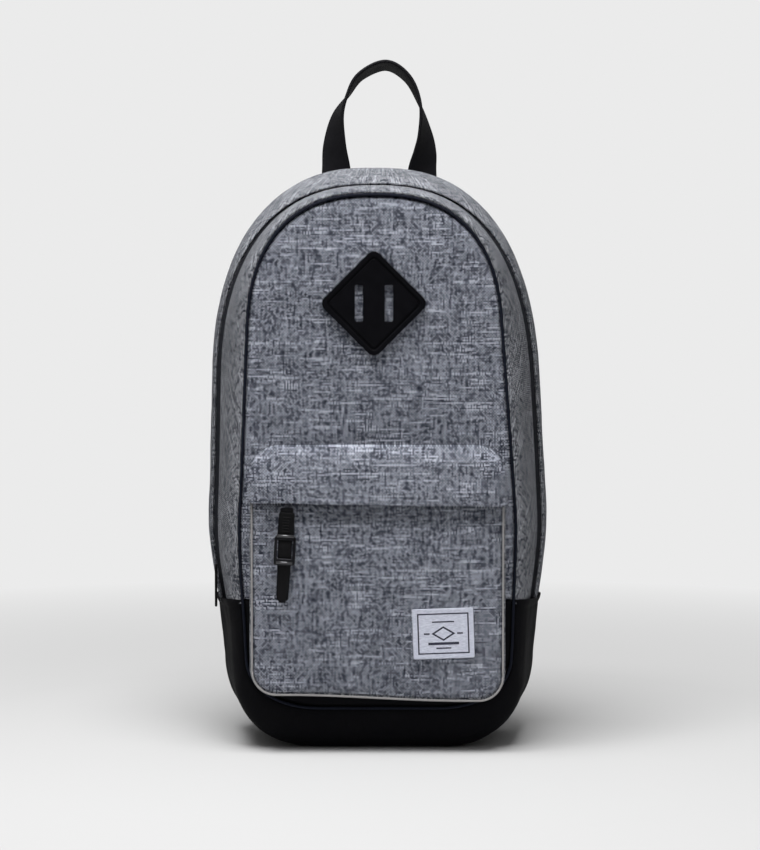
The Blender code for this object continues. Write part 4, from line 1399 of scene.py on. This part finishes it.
def build_strap():
    top, pad_low = np.array((0.0, 54.5, 298.0)), np.array((-33.0, 86.0, 96.0))
    foot = np.array((-62.0, 57.0, 38.0))
    knots = [top, (-0.5, 70, 292), (-2.5, 90, 264), (-7, 101, 222), (-14, 102, 176), (-23, 96, 132), pad_low]
    line = spline_rows(knots, 14)
    swing = unit(foot - top)
    level = unit(np.cross(swing, np.array((0, 1.0, 0)) - swing * swing[1]))
    count = len(line) - 1
    first = line[: int(0.2 * count)]
    stub = spline_rows([(0, 45.8, 299.4), (0, 50.0, 299.2), *first[::3], first[-1]], 3)
    bend = ("bag", "strap", (0, 0.047, 0.299), (0, 0.060, 0.297))
    band = band_profile(20.0, 1.7)
    sweep("strap_webbing_upper", stub, level, band, "webbing", bend, ["strap_webbing_top"])
    part = line[int(0.15 * count) :]
    v = np.linspace(0, 1, len(part))
    ends = np.minimum(smooth(v / 0.12), smooth((1 - v) / 0.12))
    halves = 13.5 + 11.5 * ends
    profile = []
    for a in np.linspace(0, math.tau, 40, endpoint=False):
        c, s = math.cos(a), math.sin(a)
        profile.append((math.copysign(abs(c) ** 0.55, c), math.copysign(abs(s) ** 0.7, s) * 3.0))
    pad = sweep("strap_pad_cover", part, level, profile, "strap_pad", "strap", ["strap_pad"], widths=halves)
    place = np.abs(np.array([p[0] for p in profile]))
    rows = np.arange(len(part))[:, None]
    sewn = (place[None] > 0.93) | (rows < 2) | (rows > len(part) - 3) | (rows % 16 == 8)
    swell(pad, sewn.ravel(), 20.0, 0.03, 2.5)
    finer(pad)
    for k, side in enumerate((-1, 1)):
        edge = part + square_to(level, heading(part)) * (side * (halves - 0.4))[:, None]
        sweep(f"strap_binding_{k}", edge, level, circle(1.5, 10), "piping", "strap")
    lower = [pad_low + (foot - pad_low) * k for k in (-0.08, 0.06, 0.36, 0.7, 1.0)]
    lower = spline_rows([*lower, (-62.8, 50.5, 36.4), (-63.2, 45.6, 35.0)], 6)
    bend = ("bag", "strap", (-0.0640, 0.0455, 0.031), (-0.0600, 0.058, 0.041))
    band = band_profile(24.0, 1.7)
    sweep("strap_webbing_lower", lower, level, band, "webbing", bend, ["strap_webbing"])
    along = unit(foot - pad_low)
    across = unit(level - along * (level @ along))
    facing_out = np.cross(along, across)
    facing_out = facing_out * np.sign(facing_out[1])
    at = pad_low + (foot - pad_low) * 0.25

    def placed(p):
        return at + p[:, [0]] * across + p[:, [1]] * along + (p[:, [2]] + 1.9) * facing_out

    windows = [box_loop(0, k, 12.6, 1.5, 0.7) for k in (-3.9, 0.0, 3.9)]
    loops = [box_loop(0, 0, 15.0, 6.5, 1.8), *windows]
    plate("strap_adjuster_body", loops, 3.4, 0.8, placed, "buckle_plastic", "adjuster", ["strap_adjuster"])
    loops, place = [box_loop(0, 0, 12.0, 3.0, 0.9)], facing(46.4, 0, 298.0)
    plate("strap_top_anchor", loops, 3.0, 0.8, place, "webbing", "bag", ["strap_top_tab"])
    loops, place = [box_loop(0, 0, 12.4, 7.4, 1.6)], facing(44.2, -62.2, 37.0, -26.0)
    plate("strap_corner_anchor", loops, 1.9, 0.6, place, "webbing", "bag", ["strap_corner_tab"])


build_strap()

frame["nodes"]["base_board"].data.materials.clear()
frame["nodes"]["base_board"].data.materials.append(LOOKS["board"])


# ---- light, floor and camera ------------------------------------------------------------


def build_world(scene):
    """A pale backdrop round the horizon, and a studio that is brighter in front and behind than aside."""
    world = bpy.data.worlds.new("studio")
    scene.world = world
    world.use_nodes = True
    nodes, links = world.node_tree.nodes, world.node_tree.links

    def node(kind, inputs, **settings):
        made = nodes.new("ShaderNode" + kind)
        for key, value in settings.items():
            setattr(made, key, value)
        for key, value in inputs.items():
            if isinstance(value, bpy.types.NodeSocket):
                links.new(value, made.inputs[key])
            else:
                made.inputs[key].default_value = value
        return made.outputs

    direction = node("TexCoord", {})["Generated"]
    x, _, z = node("SeparateXYZ", {0: direction})
    aside = node("Math", {0: x}, operation="ABSOLUTE")[0]
    studio = node("MapRange", {0: aside, 1: 0.15, 2: 0.8, 3: STUDIO_FRONT, 4: STUDIO_SIDE})[0]
    above = node("MapRange", {0: z, 1: 0.14, 2: 0.3, 3: 0.0, 4: 1.0})[0]
    seen = node("Mix", {0: above, 2: BACKDROP, 3: studio}, data_type="FLOAT")[0]
    ray = node("LightPath", {})["Is Camera Ray"]
    both = node("Mix", {0: ray, 2: studio, 3: seen}, data_type="FLOAT")[0]
    links.new(both, nodes["Background"].inputs["Color"])
    nodes["Background"].inputs["Strength"].default_value = 1.0


def build_floor():
    """A plain pale floor that fades into the backdrop's brightness away from the bag."""
    mesh = bpy.data.meshes.new("floor")
    r = 12.0
    mesh.from_pydata([(-r, -r, 0), (r, -r, 0), (r, r, 0), (-r, r, 0)], [], [(0, 1, 2, 3)])
    floor = bpy.data.objects.new("floor", mesh)
    bpy.context.scene.collection.objects.link(floor)
    look = Look("floor_paint", 1.0, specular_ior_level=0.0)
    look.shader.inputs["Base Color"].default_value = (FLOOR_TONE, FLOOR_TONE, FLOOR_TONE, 1.0)
    at = look.node("TexCoord", output=3)
    away = look.tree.nodes.new("ShaderNodeVectorMath")
    away.operation = "LENGTH"
    look.tree.links.new(at, away.inputs[0])
    far = look.ramp_value(away.outputs["Value"], 0.28, 0.75)
    ray = look.node("LightPath")
    strength = look.ramp_value(ray, 0.0, 1.0, FLOOR_BOUNCE, 1.0)
    glow = look.node("Emission", {"Color": (BACKDROP, BACKDROP, BACKDROP, 1.0), "Strength": strength})
    both = look.node("MixShader", {0: far, 1: look.shader.outputs[0], 2: glow})
    look.tree.links.new(both, look.tree.nodes["Material Output"].inputs["Surface"])
    mesh.materials.append(look.material)


def softbox(name, at, target, size, power):
    light = bpy.data.lights.new(name, "AREA")
    light.shape = "RECTANGLE"
    light.size, light.size_y = size
    light.energy = power
    obj = bpy.data.objects.new(name, light)
    obj.location = at
    obj.rotation_euler = (Vector(target) - Vector(at)).to_track_quat("-Z", "Y").to_euler()
    bpy.context.scene.collection.objects.link(obj)


def build_stage():
    scene = bpy.context.scene
    scene.view_settings.view_transform = "Standard"
    build_world(scene)
    build_floor()
    softbox("top_softbox", (-0.12, -0.38, 1.3), (0, -0.02, 0.1), (0.9, 0.7), 25.0)

    camera = bpy.data.cameras.new("camera")
    camera.lens = 147.8
    camera.sensor_width = 36.0
    camera.clip_start, camera.clip_end = 0.05, 20.0
    obj = bpy.data.objects.new("camera", camera)
    elevation = math.radians(4.5)
    target = Vector((0.0014, 0.0, 0.1812))
    back = Vector((0.0, -math.cos(elevation), math.sin(elevation)))
    obj.location = target + back * 2.0
    obj.rotation_euler = (-back).to_track_quat("-Z", "Y").to_euler()
    scene.collection.objects.link(obj)
    scene.camera = obj


build_stage()
